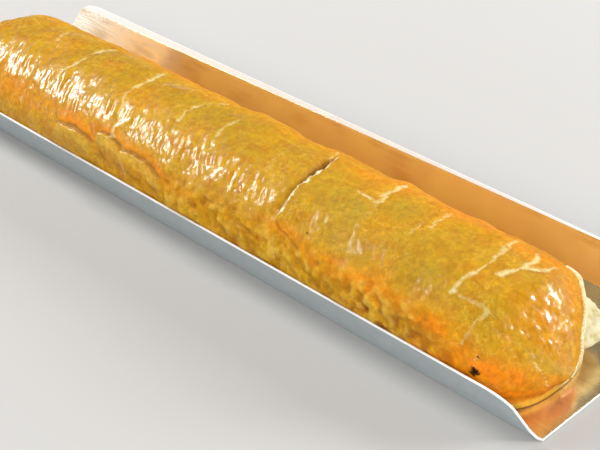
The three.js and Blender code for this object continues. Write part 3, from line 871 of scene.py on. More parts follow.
@dataclass(frozen=True)
class WhiteCard:
    """Bleached solid board with a calendered face: matt, with a faint fibre cloud.

    Its coated inner face and cut edges are painted bright white for the light on them, and its
    outer face is painted a cooler grey-white for the shade on it; the card is white on both faces.
    Real fibres are some hundredths of a millimetre wide. They are drawn 0.4 mm wide to show.
    """

    # The outer colours are painted shade and the inner ones painted light.
    outer: str = "#AEB6B8"
    shaded_outer_cloud: str = "#9CA5A7"
    inner: str = "#FFFFFF"
    lit_inner_cloud: str = "#F6F5F3"
    inner_from: float = 0.3
    cloud_mm: float = 6.0
    fibre_mm: float = 0.4
    fibre_bump: Ramp = (0.15, 0.05)
    roughness: float = 0.55

    def material(self) -> bpy.types.Material:
        """Builds the material.

        Returns:
            The finished material.
        """
        material, tree, shader = new_material("bleached_board")
        place = add_node(tree, "ShaderNodeNewGeometry").outputs["Position"]
        cloud = add_node(tree, "ShaderNodeTexNoise", None, {
            "Vector": place, "Scale": repeats(self.cloud_mm), "Detail": 2.0})
        fibre = add_node(tree, "ShaderNodeTexNoise", None, {
            "Vector": place, "Scale": repeats(self.fibre_mm), "Detail": 2.0})
        outer, inner = (
            add_node(tree, "ShaderNodeMix", BLEND, {
                FACTOR: cloud.outputs["Fac"], UNDER: linear(face), OVER: linear(face_cloud)})
            for face, face_cloud in ((self.outer, self.shaded_outer_cloud), (self.inner, self.lit_inner_cloud)))
        depth = add_node(tree, "ShaderNodeAttribute", {"attribute_name": INSIDE})
        inside = add_node(tree, "ShaderNodeMapRange", None, {
            "Value": depth.outputs["Fac"], "From Max": self.inner_from})
        # Painted shade on the outer face, painted light on the inner face and edges.
        colour = add_node(tree, "ShaderNodeMix", BLEND, {
            FACTOR: inside.outputs["Result"], UNDER: outer.outputs[MIXED], OVER: inner.outputs[MIXED]})
        bump = add_node(tree, "ShaderNodeBump", None, {
            "Strength": self.fibre_bump[0], "Distance": self.fibre_bump[1] * MM,
            "Height": fibre.outputs["Fac"]})
        set_inputs(tree, shader, {
            "Base Color": colour.outputs[MIXED], "Normal": bump.outputs["Normal"],
            "Roughness": self.roughness})
        return material


@dataclass(frozen=True)
class PaleFloor:
    """Painted board for the studio floor: plain, pale and matt."""

    paint: str = "#C4C2BF"
    roughness: float = 0.8

    def material(self) -> bpy.types.Material:
        """Builds the material.

        Returns:
            The finished material.
        """
        material, tree, shader = new_material("pale_painted_floor")
        set_inputs(tree, shader, {"Base Color": linear(self.paint), "Roughness": self.roughness})
        return material


def ring_faces(rings: int, sides: int) -> list[tuple[int, ...]]:
    """Faces of a closed skin over rings, with one point at either tip.

    Args:
        rings: How many rings there are.
        sides: How many points a ring has.

    Returns:
        The faces, where point 0 is the first tip and the last point the other.
    """
    ring, side = np.meshgrid(np.arange(rings - 1), np.arange(sides), indexing="ij")
    nxt = (side + 1) % sides
    quads = np.stack([1 + ring * sides + side, 1 + ring * sides + nxt,
                      1 + (ring + 1) * sides + nxt, 1 + (ring + 1) * sides + side], axis=-1)
    faces = [tuple(quad) for quad in quads.reshape(-1, 4).tolist()]
    last = 1 + rings * sides
    for i in range(sides):
        j = (i + 1) % sides
        faces.append((0, 1 + j, 1 + i))
        faces.append((last, 1 + (rings - 1) * sides + i, 1 + (rings - 1) * sides + j))
    return faces


def with_tips(
    values: np.ndarray, first: float | tuple[float, ...], last: float | tuple[float, ...]
) -> np.ndarray:
    """A skin's values in the order of its points.

    Args:
        values: The rings' values, or their points, with rings and sides as the first two axes.
        first: The first tip's value.
        last: The last tip's value.

    Returns:
        One row for each point: the first tip, the rings in turn, and the last tip.
    """
    rows = values.reshape(-1, *values.shape[2:])
    return np.concatenate([np.array([first]), rows, np.array([last])])


def make_object(name: str, points_mm: np.ndarray, faces: list[tuple[int, ...]]) -> bpy.types.Object:
    """A smooth mesh object in the scene.

    Args:
        name: The piece's name.
        points_mm: The points, in millimetres.
        faces: Their faces.

    Returns:
        The new object.
    """
    mesh = bpy.data.meshes.new(name)
    mesh.from_pydata((points_mm * MM).tolist(), [], faces)
    mesh.polygons.foreach_set("use_smooth", [True] * len(mesh.polygons))
    mesh.update()
    piece = bpy.data.objects.new(name, mesh)
    bpy.context.scene.collection.objects.link(piece)
    return piece


def paint(piece: bpy.types.Object, name: str, values: np.ndarray) -> None:
    """Stores values from 0 to 1 on a piece's points for its material to read."""
    layer = piece.data.attributes.new(name, "FLOAT", "POINT")
    layer.data.foreach_set("value", np.clip(values, 0.0, 1.0).astype(np.float32))


@dataclass
class CrustGrid:
    """The smooth roll's points, ring by ring, with where each one lies."""

    x: np.ndarray
    degrees: np.ndarray
    up: np.ndarray
    base: np.ndarray
    normal: np.ndarray
    share: np.ndarray
    wander: np.ndarray


@dataclass
class CrustMarks:
    """What lies at each of the crust's points, for its relief and for its masks."""

    cracks: np.ndarray
    creases: np.ndarray
    lobes: np.ndarray
    grooves: np.ndarray
    shades: np.ndarray
    lit_lobe_tops: np.ndarray
    crumpled: np.ndarray
    folds: np.ndarray
    past_tear: np.ndarray


@dataclass(frozen=True)
class MaskShares:
    """How much each mark of the crust adds to a mask at most.

    A pair is what it adds everywhere and what ragged noise adds to that.
    """

    patch: Ramp = (0.5, 0.8)
    # Under the nose the orange is partly painted light reflected up from the foil.
    orange_and_bounce_under_nose: float = 0.75
    orange_blotch: float = 0.1
    orange_lobe_shade: float = 0.4
    # Orange gives way to painted light on the lobes' upper parts.
    orange_lost_on_lobe: float = 0.8
    # Painted shade in sunk folds and grooves.
    shade_in_sunk_folds: float = 0.5
    shade_in_grooves: float = 0.9
    brown_seam: float = 0.4
    # Painted light on risen folds and on the lobes.
    light_on_risen_folds: float = 0.6
    light_on_lobe_tops: float = 0.5
    pale_lip: float = 0.7
    pale_lip_lost_far: float = 0.35
    crack: Ramp = (0.75, 0.35)
    raw_tear: Ramp = (0.38, 0.5)
    raw_rim: float = 0.5
    raw_lip_far: float = 0.4
    dry_crack: float = 0.7
    dry_rim: float = 0.9
    dry_lobe_shade: float = 0.8
    dull_right: float = 0.36
    dull_further_right: float = 0.42
    dull_near_low: float = 0.7
    dull_blotch: float = 0.12


@dataclass
class PastryCrust:
    """The glazed pastry, with its cracks, tear, loose lobes, lip and open corner.

    Lengths are in millimetres and angles in degrees. A ramp is where something starts and ends.
    """

    form: RollForm = field(default_factory=RollForm)
    dough: DoughForm = field(default_factory=DoughForm)
    finish: GlazedPastry = field(default_factory=GlazedPastry)
    shares: MaskShares = field(default_factory=MaskShares)

    shown_sides: int = 176
    hidden_sides: int = 40
    shown_arc: Ramp = (-12.0, 194.0)
    body_rings: int = 352
    cap_rings: int = 42
    mm_per_degree: float = 0.5
    half_turn_mm: float = 90.0
    full_share: Ramp = (0.1, 0.5)
    full_height: Ramp = (-0.75, -0.3)
    least_gap: float = 0.7

    # Every noise is a seed, a size and a height.
    wander: tuple[LatticeNoise, ...] = (LatticeNoise(11, 3.4, 0.9), LatticeNoise(12, 1.5, 0.8))
    crack_width: LatticeNoise = LatticeNoise(13, 5.0, 0.7)
    crack_depth: float = 0.55
    crease_depth: float = 1.2
    crack_steps: int = 5
    crack_reach: float = 5.0
    # How much of the wander moves each kind of edge.
    crack_wander: tuple[float, float, float] = (1.0, 0.6, 0.6)
    crease_wander: float = 0.6
    lobe_wander: Ramp = (1.2, 1.3)
    tear_wander: float = 0.8
    burn_wander: float = 1.3

    unevenness: float = 0.45
    # Each wave is a length along the roll, and how far it swings round it.
    long_wave: Ramp = (13.7, 1.3)
    short_wave: Ramp = (6.1, 2.1)
    short_wave_share: float = 0.7
    wrinkle_mm: tuple[float, float, float] = (1.9, 7.0, 1.0)
    fine_wrinkle: tuple[float, float, float] = (1.5, 2.0, 1.0)
    wrinkle_height: float = 0.36
    wrinkled_middle: float = 124.0
    wrinkled_half: float = 36.0
    wrinkled_least: float = 0.2
    short_wrinkles: Ramp = (-70.0, 10.0)
    short_wrinkle_share: float = 0.4
    more_short_wrinkles: float = 0.5
    calm_wrinkles: Ramp = (40.0, 100.0)
    calm_share: float = 0.75
    long_wrinkles: LatticeNoise = LatticeNoise(21)
    short_wrinkle_noise: LatticeNoise = LatticeNoise(22)
    pebbles: tuple[LatticeNoise, ...] = (LatticeNoise(23, 2.1), LatticeNoise(24, 1.1, 0.6))
    pebble_height: float = 0.1
    nose: Ramp = (150.0, 160.0)
    nose_up: Ramp = (0.2, 0.6)
    nose_pebbles: float = 1.6
    dimples: LatticeNoise = LatticeNoise(25, (9.0, 11.0, 11.0))
    dimple_height: float = 0.75
    folds: tuple[LatticeNoise, ...] = (LatticeNoise(26, (3.2, 3.0, 3.0)), LatticeNoise(28, 1.7, 0.6))
    crumpled_middle: float = 168.0
    crumpled_half: float = 20.0
    crumpled_from: Ramp = (-50.0, 10.0)
    crumpled_to: Ramp = (135.0, 155.0)

    tear_x: float = 57.8
    tear_from: Ramp = (54.0, 70.0)
    tear_to: Ramp = (132.0, 152.0)
    tear_step: float = 1.5
    tear_gap: float = 2.8
    tear_rise: Ramp = (-0.4, 0.6)
    tear_settle: Ramp = (1.5, 14.0)
    tear_deepest: float = 82.0
    tear_deep_half: float = 14.0
    tear_pull: float = 14.0
    gap_before: float = 1.0
    gap_half: float = 1.4
    gap_least: float = 0.3
    gap_shade_half: float = 1.1
    gap_shade_deep: float = 16.0
    gap_shade_least: float = 0.2
    torn_past: float = 1.0
    torn_half: float = 1.2
    torn_pale: Ramp = (58.0, 84.0)
    torn_least: float = 0.5

    lobe_step: float = 1.9
    lobe_ends: Ramp = (0.75, 1.1)
    lobe_curve: float = 3.0
    lobe_edge: Ramp = (-1.2, 2.4)
    lobe_fade: Ramp = (6.0, 26.0)
    groove_above: float = 0.9
    groove_half: float = 1.9
    groove_depth: float = 0.12
    shade_above: float = 5.5
    shade_half: float = 5.0
    lit_band_below: float = 7.0

    mouth_from: float = 148.0
    mouth_depth: float = 2.6
    mouth_wall: Ramp = (0.9, 1.0)
    rim_back: float = 2.5
    rim_wander: float = 2.5
    rim_edge: Ramp = (-2.0, 1.0)
    rim_clear: Ramp = (5.0, 8.0)
    rim_swell: float = 0.6
    rim_swell_from: Ramp = (157.0, 164.0)
    rim_noise: LatticeNoise = LatticeNoise(27, 4.0)
    under_rim: float = 0.7
    under_rim_half: float = 3.0

    ragged: LatticeNoise = LatticeNoise(31, 2.6, 0.5)
    blotch: LatticeNoise = LatticeNoise(32, 14.0)
    patchy: tuple[LatticeNoise, ...] = (LatticeNoise(33, 3.4), LatticeNoise(34, 1.6, 0.5))
    patchy_noise: Ramp = (-0.35, 0.45)
    warm_noise: Ramp = (0.0, 0.8)
    olive_noise: Ramp = (-0.7, 0.4)
    sunk_folds: Ramp = (0.1, 0.9)
    risen_folds: Ramp = (0.0, 0.7)
    lip_from: Ramp = (150.0, 158.0)
    lip_top: Ramp = (3.6, 4.6)
    seam_from: Ramp = (152.0, 160.0)
    seam_height: float = 5.6
    seam_half: float = 1.3
    seam_down: Ramp = (0.2, 0.5)
    far_side: Ramp = (-30.0, -14.0)
    under_nose_from: Ramp = (158.0, 168.0)
    under_nose_down: Ramp = (0.05, 0.35)
    thin_from: Ramp = (-80.0, 10.0)
    thinner_from: Ramp = (30.0, 75.0)
    thick_again: Ramp = (148.0, 160.0)
    thin_far_side: Ramp = (50.0, 82.0)
    thin_near_side: Ramp = (146.0, 166.0)
    # The scorched spot and two specks: a place along the roll, an angle and a size.
    burn_places: tuple[tuple[float, float, float], ...] = (
        (159.2, 182.5, 2.2), (159.6, 168.0, 0.45), (76.8, 141.2, 0.35))
    burn_edge: Ramp = (0.6, 1.2)

    def ring_places(self) -> np.ndarray:
        """The places of the rings along the roll, close together in the caps.

        Returns:
            The places, from left to right.
        """
        turn = np.linspace(0.0, math.pi / 2, self.cap_rings + 1)[1:]
        left = self.form.left + self.form.left_cap * (1.0 - np.cos(turn))
        right = self.form.right - self.form.right_cap * (1.0 - np.cos(turn))
        middle = np.linspace(left[-1], right[-1], self.body_rings + 2)[1:-1]
        return np.sort(np.concatenate([left, middle, right]))

    def side_angles(self) -> np.ndarray:
        """The angles of a ring's points, close together where the roll shows.

        Returns:
            The angles, in radians.
        """
        first, last = self.shown_arc
        shown = np.linspace(first, last, self.shown_sides, endpoint=False)
        hidden = np.linspace(last, first + 360.0, self.hidden_sides, endpoint=False)
        return np.radians(np.concatenate([shown, hidden]))

    def tear_line(self, degrees: np.ndarray) -> np.ndarray:
        """Where the tear runs at an angle."""
        places = np.array(TEAR)
        return np.interp(degrees, places[:, 1], places[:, 0])

    def tear_open(self, degrees: np.ndarray) -> np.ndarray:
        """How open the tear is at an angle."""
        return smooth(degrees, *self.tear_from) * (1.0 - smooth(degrees, *self.tear_to))

    def grid(self) -> CrustGrid:
        """Lays out the smooth roll's points, with the rings near the tear pulled to its line.

        Returns:
            The points with their places.
        """
        places = self.ring_places()[:, None]
        angle = self.side_angles()[None, :]
        degrees = np.degrees(angle) + 0.0 * places
        pull = hill(places - self.tear_x, self.tear_pull) * self.tear_open(degrees)
        x = places + (self.tear_line(degrees) - self.tear_x) * pull
        base = self.form.section(x, angle)
        along = np.gradient(base, axis=0)
        round_it = np.roll(base, -1, axis=1) - np.roll(base, 1, axis=1)
        normal = np.cross(round_it, along)
        normal /= np.maximum(np.linalg.norm(normal, axis=-1, keepdims=True), TINY)
        return CrustGrid(x, degrees, np.sin(angle), base, normal, self.form.fullness(x),
                         layered(self.wander, base))

    def crack_mask(self, mask: Mask, grid: CrustGrid, wander: np.ndarray) -> np.ndarray:
        """How much of the cracks of one mask lies at each place.

        Args:
            mask: The mask whose cracks are laid.
            grid: The smooth roll's points.
            wander: A small random shift that makes the edges ragged, in millimetres.

        Returns:
            The mask's values, 1 in the middle of the strongest crack.
        """
        width = 1.0 + self.crack_width.at(grid.base)
        total = np.zeros(wander.shape)
        spot = grid.base + wander[..., None] * self.crack_wander
        for crack in CRACKS:
            if crack.mask is not mask:
                continue
            places = np.array(crack.places)
            steps = np.linspace(0.0, len(places) - 1.0, self.crack_steps * (len(places) - 1) + 1)
            line_x, line_degrees = (np.interp(steps, np.arange(len(places)), places[:, i]) for i in (0, 1))
            line = self.form.section(line_x, np.radians(line_degrees))
            beyond = spot[..., 0] - np.clip(spot[..., 0], line_x.min(), line_x.max())
            near = np.abs(beyond) < self.crack_reach
            beside = spot[near]
            away = np.full(len(beside), self.crack_reach)
            for start, end in zip(line[:-1], line[1:]):
                run = end - start
                t = np.clip(((beside - start) @ run) / (run @ run), 0.0, 1.0)
                away = np.minimum(away, np.linalg.norm(beside - start - t[:, None] * run, axis=-1))
            values = crack.strength * hill(away, crack.half_width * width[near])
            total[near] = np.maximum(total[near], values)
        return total

    def lobes(self, x: np.ndarray, degrees: np.ndarray) -> tuple[np.ndarray, ...]:
        """The loose layer's lobes.

        Args:
            x: Places along the roll.
            degrees: Angles round it.

        Returns:
            How far the lobes stand out, and masks of the painted shade in the grooves over them, the
            painted warm shade above their edges and the painted light on their upper parts.
        """
        out, grooves, shades, lit_tops = (np.zeros(x.shape) for _ in range(4))
        for lobe in LOBES:
            along = (2.0 * x - lobe.start - lobe.end) / (lobe.end - lobe.start)
            inside = 1.0 - smooth(np.abs(along), *self.lobe_ends)
            below = degrees - lobe.edge - lobe.dip * np.maximum(0.0, along) - self.lobe_curve * along**2
            risen = smooth(below, *self.lobe_edge) * (1.0 - smooth(below, *self.lobe_fade))
            groove = hill(below + self.groove_above, self.groove_half)
            out += self.lobe_step * inside * (risen - self.groove_depth * groove)
            grooves = np.maximum(grooves, inside * groove)
            shades = np.maximum(shades, inside * hill(below + self.shade_above, self.shade_half))
            lit_tops = np.maximum(lit_tops, inside * hill(below - self.lit_band_below, self.lit_band_below))
        return out, grooves, shades, lit_tops

    def marks(self, grid: CrustGrid) -> CrustMarks:
        """Finds what lies at each point.

        Args:
            grid: The smooth roll's points.

        Returns:
            The marks.
        """
        middle = hill(grid.degrees - self.crumpled_middle, self.crumpled_half)
        crumpled = middle * smooth(grid.x, *self.crumpled_from) * (1.0 - smooth(grid.x, *self.crumpled_to))
        return CrustMarks(
            self.crack_mask(Mask.CRACK, grid, grid.wander),
            self.crack_mask(Mask.BROWN_AND_SHADE, grid, self.crease_wander * grid.wander),
            *self.lobes(grid.x + self.lobe_wander[0] * grid.wander,
                        grid.degrees + self.lobe_wander[1] * grid.wander),
            crumpled,
            layered(self.folds, grid.base),
            grid.x - self.tear_line(grid.degrees) + self.tear_wander * grid.wander,
        )

    def tear_relief(self, past: np.ndarray, degrees: np.ndarray) -> np.ndarray:
        """The tear: the crust stands up past it, and a gap lies before it.

        Args:
            past: How far each point lies past the tear.
            degrees: Angles round the roll.

        Returns:
            How far the crust stands out.
        """
        raised = smooth(past, *self.tear_rise) * (1.0 - smooth(past, *self.tear_settle))
        deepest = at_least(hill(degrees - self.tear_deepest, self.tear_deep_half), self.gap_least)
        gap = hill(past + self.gap_before, self.gap_half) * deepest
        return self.tear_open(degrees) * (self.tear_step * raised - self.tear_gap * gap)

    def fine_relief(self, grid: CrustGrid) -> np.ndarray:
        """The glaze's wrinkles, pebbles and dimples.

        Args:
            grid: The smooth roll's points.

        Returns:
            How far they stand out.
        """
        arc = grid.degrees * self.mm_per_degree
        lean = grid.x - self.finish.wrinkle_lean * arc
        place = np.stack([lean, arc, 0.0 * grid.x], axis=-1) / self.wrinkle_mm
        short = smooth(grid.x, *self.short_wrinkles)
        wrinkles = (1.0 - short) * self.long_wrinkles.at(place)
        short_share = self.short_wrinkle_share + self.more_short_wrinkles * short
        wrinkles = wrinkles + short_share * self.short_wrinkle_noise.at(place * self.fine_wrinkle)
        wrinkled = hill(grid.degrees - self.wrinkled_middle, self.wrinkled_half)
        wrinkled = wrinkled * (1.0 - self.calm_share * smooth(grid.x, *self.calm_wrinkles))
        on_nose = self.nose_pebbles * smooth(grid.x, *self.nose) * smooth(grid.up, *self.nose_up)
        pebbles = layered(self.pebbles, grid.base) * (1.0 + on_nose)
        dimples = self.dimples.at(grid.base)
        return (self.wrinkle_height * wrinkles * (self.wrinkled_least + wrinkled)
                + self.pebble_height * pebbles + self.dimple_height * dimples)

    def raised(self, grid: CrustGrid, marks: CrustMarks) -> np.ndarray:
        """The roll's points with all their relief but the mouth's.

        Args:
            grid: The smooth roll's points.
            marks: What lies at each of them.

        Returns:
            The raised points.
        """
        radians = np.radians(grid.degrees)
        (long_mm, long_swing), (short_mm, short_swing) = self.long_wave, self.short_wave
        uneven = np.sin(grid.x / long_mm + long_swing * np.sin(2.0 * radians))
        short = np.sin(grid.x / short_mm + short_swing * np.cos(3.0 * radians) + 1.0)
        uneven = uneven + self.short_wave_share * short
        sunk = marks.cracks + self.crease_depth * marks.creases
        out = self.unevenness * uneven - self.crack_depth * sunk
        out = out + self.tear_relief(marks.past_tear, grid.degrees)
        out = out + marks.lobes + self.fine_relief(grid) + marks.crumpled * marks.folds
        strength = smooth(grid.share, *self.full_share) * smooth(grid.up, *self.full_height)
        return grid.base + grid.normal * (out * strength)[..., None]

    def open_mouth(self, grid: CrustGrid, points: np.ndarray) -> tuple[np.ndarray, np.ndarray]:
        """Opens the corner where the dough shows, under a swollen rim.

        Args:
            grid: The smooth roll's points.
            points: The raised points.

        Returns:
            The points with the mouth, and a mask of its rim.
        """
        at_mouth = (grid.base[..., 0] > self.mouth_from).astype(float)
        hollow = at_mouth * (1.0 - smooth(self.dough.nearness(grid.base), *self.mouth_wall))
        places = np.array(MOUTH_EDGE)
        edge = np.interp(grid.x, places[:, 0], places[:, 1]) - self.rim_back + self.rim_wander * grid.wander
        clear = smooth(grid.base[..., 2], *self.rim_clear)
        rim = at_mouth * (1.0 - smooth(grid.degrees - edge, *self.rim_edge)) * clear
        under_crust = at_mouth * hill(grid.degrees - edge, self.under_rim_half) * clear
        swollen = self.rim_swell * rim * (1.0 + self.rim_noise.at(grid.base)) * smooth(
            grid.x, *self.rim_swell_from)
        out = swollen - self.under_rim * under_crust - self.mouth_depth * hollow
        return points + grid.normal * out[..., None], rim

    def keep_clear(self, points: np.ndarray) -> np.ndarray:
        """Holds the crust clear of the tray and inside the solids' box.

        Args:
            points: The crust's points.

        Returns:
            The points where they may lie.
        """
        x, y, z = (points[..., axis] for axis in range(3))
        gap = self.least_gap * self.form.touch_gap
        beside = z < self.form.tray.wall_top + self.form.tray.thickness
        y = np.where(beside, np.maximum(y, self.form.tray.near_wall_inside(z) + gap), y)
        y = -held_below(-y, -SOLID_BOX[0][1] / MM)
        z = np.maximum(held_below(z, SOLID_BOX[1][2] / MM), self.form.tray.thickness + gap)
        return np.stack([x, y, z], axis=-1)

    def masks(
        self, grid: CrustGrid, marks: CrustMarks, rim: np.ndarray, z: np.ndarray
    ) -> dict[Mask, np.ndarray]:
        """The masks that the finish reads.

        Args:
            grid: The smooth roll's points.
            marks: What lies at each of them.
            rim: The mask of the mouth's rim.
            z: The finished points' heights.

        Returns:
            Each mask's values.
        """
        x, degrees, past = grid.x, grid.degrees, marks.past_tear
        ragged = 0.5 + self.ragged.at(grid.base)
        blotch = self.blotch.at(grid.base)
        pale = at_least(smooth(degrees, *self.torn_pale), self.torn_least)
        torn = self.tear_open(degrees) * hill(past - self.torn_past, self.torn_half) * pale
        deepest = at_least(hill(degrees - self.tear_deepest, self.gap_shade_deep), self.gap_shade_least)
        gap = self.tear_open(degrees) * hill(past + self.gap_before, self.gap_shade_half) * deepest
        lip = smooth(x, *self.lip_from) * (1.0 - smooth(z, *self.lip_top)) * (grid.up < 0.0)
        seam = smooth(x, *self.seam_from) * hill(z - self.seam_height, self.seam_half) * smooth(
            -grid.up, *self.seam_down)
        patchy = smooth(layered(self.patchy, grid.base), *self.patchy_noise)
        orange, olive, brown_and_shade = (
            self.painted(mask, x, degrees, ragged) for mask in (Mask.ORANGE, Mask.OLIVE, Mask.BROWN_AND_SHADE))
        to_far_side = smooth(grid.base[..., 1], *self.far_side)
        shares = self.shares
        # Orange under the nose: partly browning, partly painted light reflected up from the foil.
        under_nose = shares.orange_and_bounce_under_nose * smooth(x, *self.under_nose_from) * smooth(
            -grid.up, *self.under_nose_down)
        # Warm orange from random blotches, and painted shade above the lobes' edges.
        warm = (shares.orange_blotch * smooth(blotch, *self.warm_noise)
                + shares.orange_lobe_shade * marks.shades)
        # Painted shade in the sunk folds of the crumpled low side, and painted light on the risen ones.
        sunk = shares.shade_in_sunk_folds * marks.crumpled * smooth(-marks.folds, *self.sunk_folds)
        risen = shares.light_on_risen_folds * marks.crumpled * smooth(marks.folds, *self.risen_folds)
        olive = olive * smooth(-blotch, *self.olive_noise) * (1.0 - marks.grooves)
        pale_lip = (shares.pale_lip - shares.pale_lip_lost_far * to_far_side) * lip
        highest = np.maximum.reduce
        return {
            # Orange gives way to painted light on the lobes' upper parts, and takes in painted light under
            # the nose.
            Mask.ORANGE: np.maximum(
                orange * (1.0 - shares.orange_lost_on_lobe * marks.lit_lobe_tops), under_nose) + warm,
            Mask.OLIVE: np.maximum(olive, to_far_side * lip),
            # Browning patches, with painted shade by the tray's wall, in sunk folds, the lobes' grooves,
            # dark creases and the tear's gap, and a darker line along the seam above the lip.
            Mask.BROWN_AND_SHADE: highest([brown_and_shade * patchy, sunk, shares.shade_in_grooves * marks.grooves, marks.creases,
                                 gap, shares.brown_seam * seam]),
            # Painted light on the lobes and the risen folds, and the lip's own paler pastry.
            Mask.PALE_AND_LIT: highest([shares.light_on_lobe_tops * marks.lit_lobe_tops, risen, pale_lip]),
            Mask.CRACK: marks.cracks * (shares.crack[0] + shares.crack[1] * ragged),
            Mask.RAW: highest([torn * (shares.raw_tear[0] + shares.raw_tear[1] * ragged),
                               shares.raw_rim * rim, shares.raw_lip_far * to_far_side * lip]),
            Mask.BURNT: self.burns(x, degrees, grid.wander),
            Mask.DRY: highest([shares.dry_crack * marks.cracks, torn, shares.dry_rim * rim, lip, gap,
                               marks.grooves, shares.dry_lobe_shade * marks.shades, marks.creases,
                               self.dull(x, degrees, blotch)]),
        }

    def painted(self, mask: Mask, x: np.ndarray, degrees: np.ndarray, ragged: np.ndarray) -> np.ndarray:
        """How strongly the broad patches of one mask colour each place.

        Args:
            mask: The mask whose patches are laid.
            x: Places along the roll.
            degrees: Angles round it.
            ragged: Random values from 0 to 1 that break the patches up.

        Returns:
            The mask's values.
        """
        total = np.zeros(x.shape)
        for patch in PATCHES:
            if patch.mask is mask:
                along = hill(x - patch.place, patch.half_length)
                spread = along * hill(degrees - patch.angle, patch.half_angle)
                total = np.maximum(total, patch.strength * spread)
        return np.clip(total * (self.shares.patch[0] + self.shares.patch[1] * ragged), 0.0, 1.0)

    def dull(self, x: np.ndarray, degrees: np.ndarray, blotch: np.ndarray) -> np.ndarray:
        """Where the egg wash is thinner: to the right, up to the nose, and low on both sides.

        Args:
            x: Places along the roll.
            degrees: Angles round it.
            blotch: Slow random values from -1 to 1.

        Returns:
            How dull each place is.
        """
        shares = self.shares
        to_the_right = (shares.dull_right * smooth(x, *self.thin_from)
                        + shares.dull_further_right * smooth(x, *self.thinner_from))
        before_nose = to_the_right * (1.0 - smooth(x, *self.thick_again))
        far_side = 1.0 - smooth(degrees, *self.thin_far_side)
        near_low = shares.dull_near_low * smooth(degrees, *self.thin_near_side)
        return np.clip(before_nose + far_side + near_low + shares.dull_blotch * blotch, 0.0, 1.0)

    def burns(self, x: np.ndarray, degrees: np.ndarray, wander: np.ndarray) -> np.ndarray:
        """The scorched spot low on the near side, and two small specks.

        Args:
            x: Places along the roll.
            degrees: Angles round it.
            wander: A small random shift that makes the edges ragged, in millimetres.

        Returns:
            The mask's values.
        """
        mask = np.zeros(x.shape)
        for place, angle, size in self.burn_places:
            away = np.hypot(x - place, (degrees - angle) * self.mm_per_degree)
            away = away + self.burn_wander * wander * min(size, 1.0)
            mask = np.maximum(mask, 1.0 - smooth(away, *(share * size for share in self.burn_edge)))
        return mask

    def build(self) -> bpy.types.Object:
        """Builds the crust with its masks.

        Returns:
            The finished piece.
        """
        grid = self.grid()
        marks = self.marks(grid)
        points, rim = self.open_mouth(grid, self.raised(grid, marks))
        points = self.keep_clear(points)
        tips = [(end, self.form.middle_y, self.form.pivot_z) for end in (self.form.left, self.form.right)]
        piece = make_object("glazed_crust", with_tips(points, *tips), ring_faces(*grid.x.shape))
        for mask, values in self.masks(grid, marks, rim, points[..., 2]).items():
            paint(piece, mask.value, with_tips(values, values[0, 0], values[-1, 0]))
        from_near_side = np.abs(grid.degrees * self.mm_per_degree - self.half_turn_mm) * grid.share
        paint(piece, AROUND, with_tips(from_near_side, 0.0, 0.0) * MM)
        piece.data.materials.append(self.finish.material())
        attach(piece, BODY)
        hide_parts("pastry_case")
        return piece


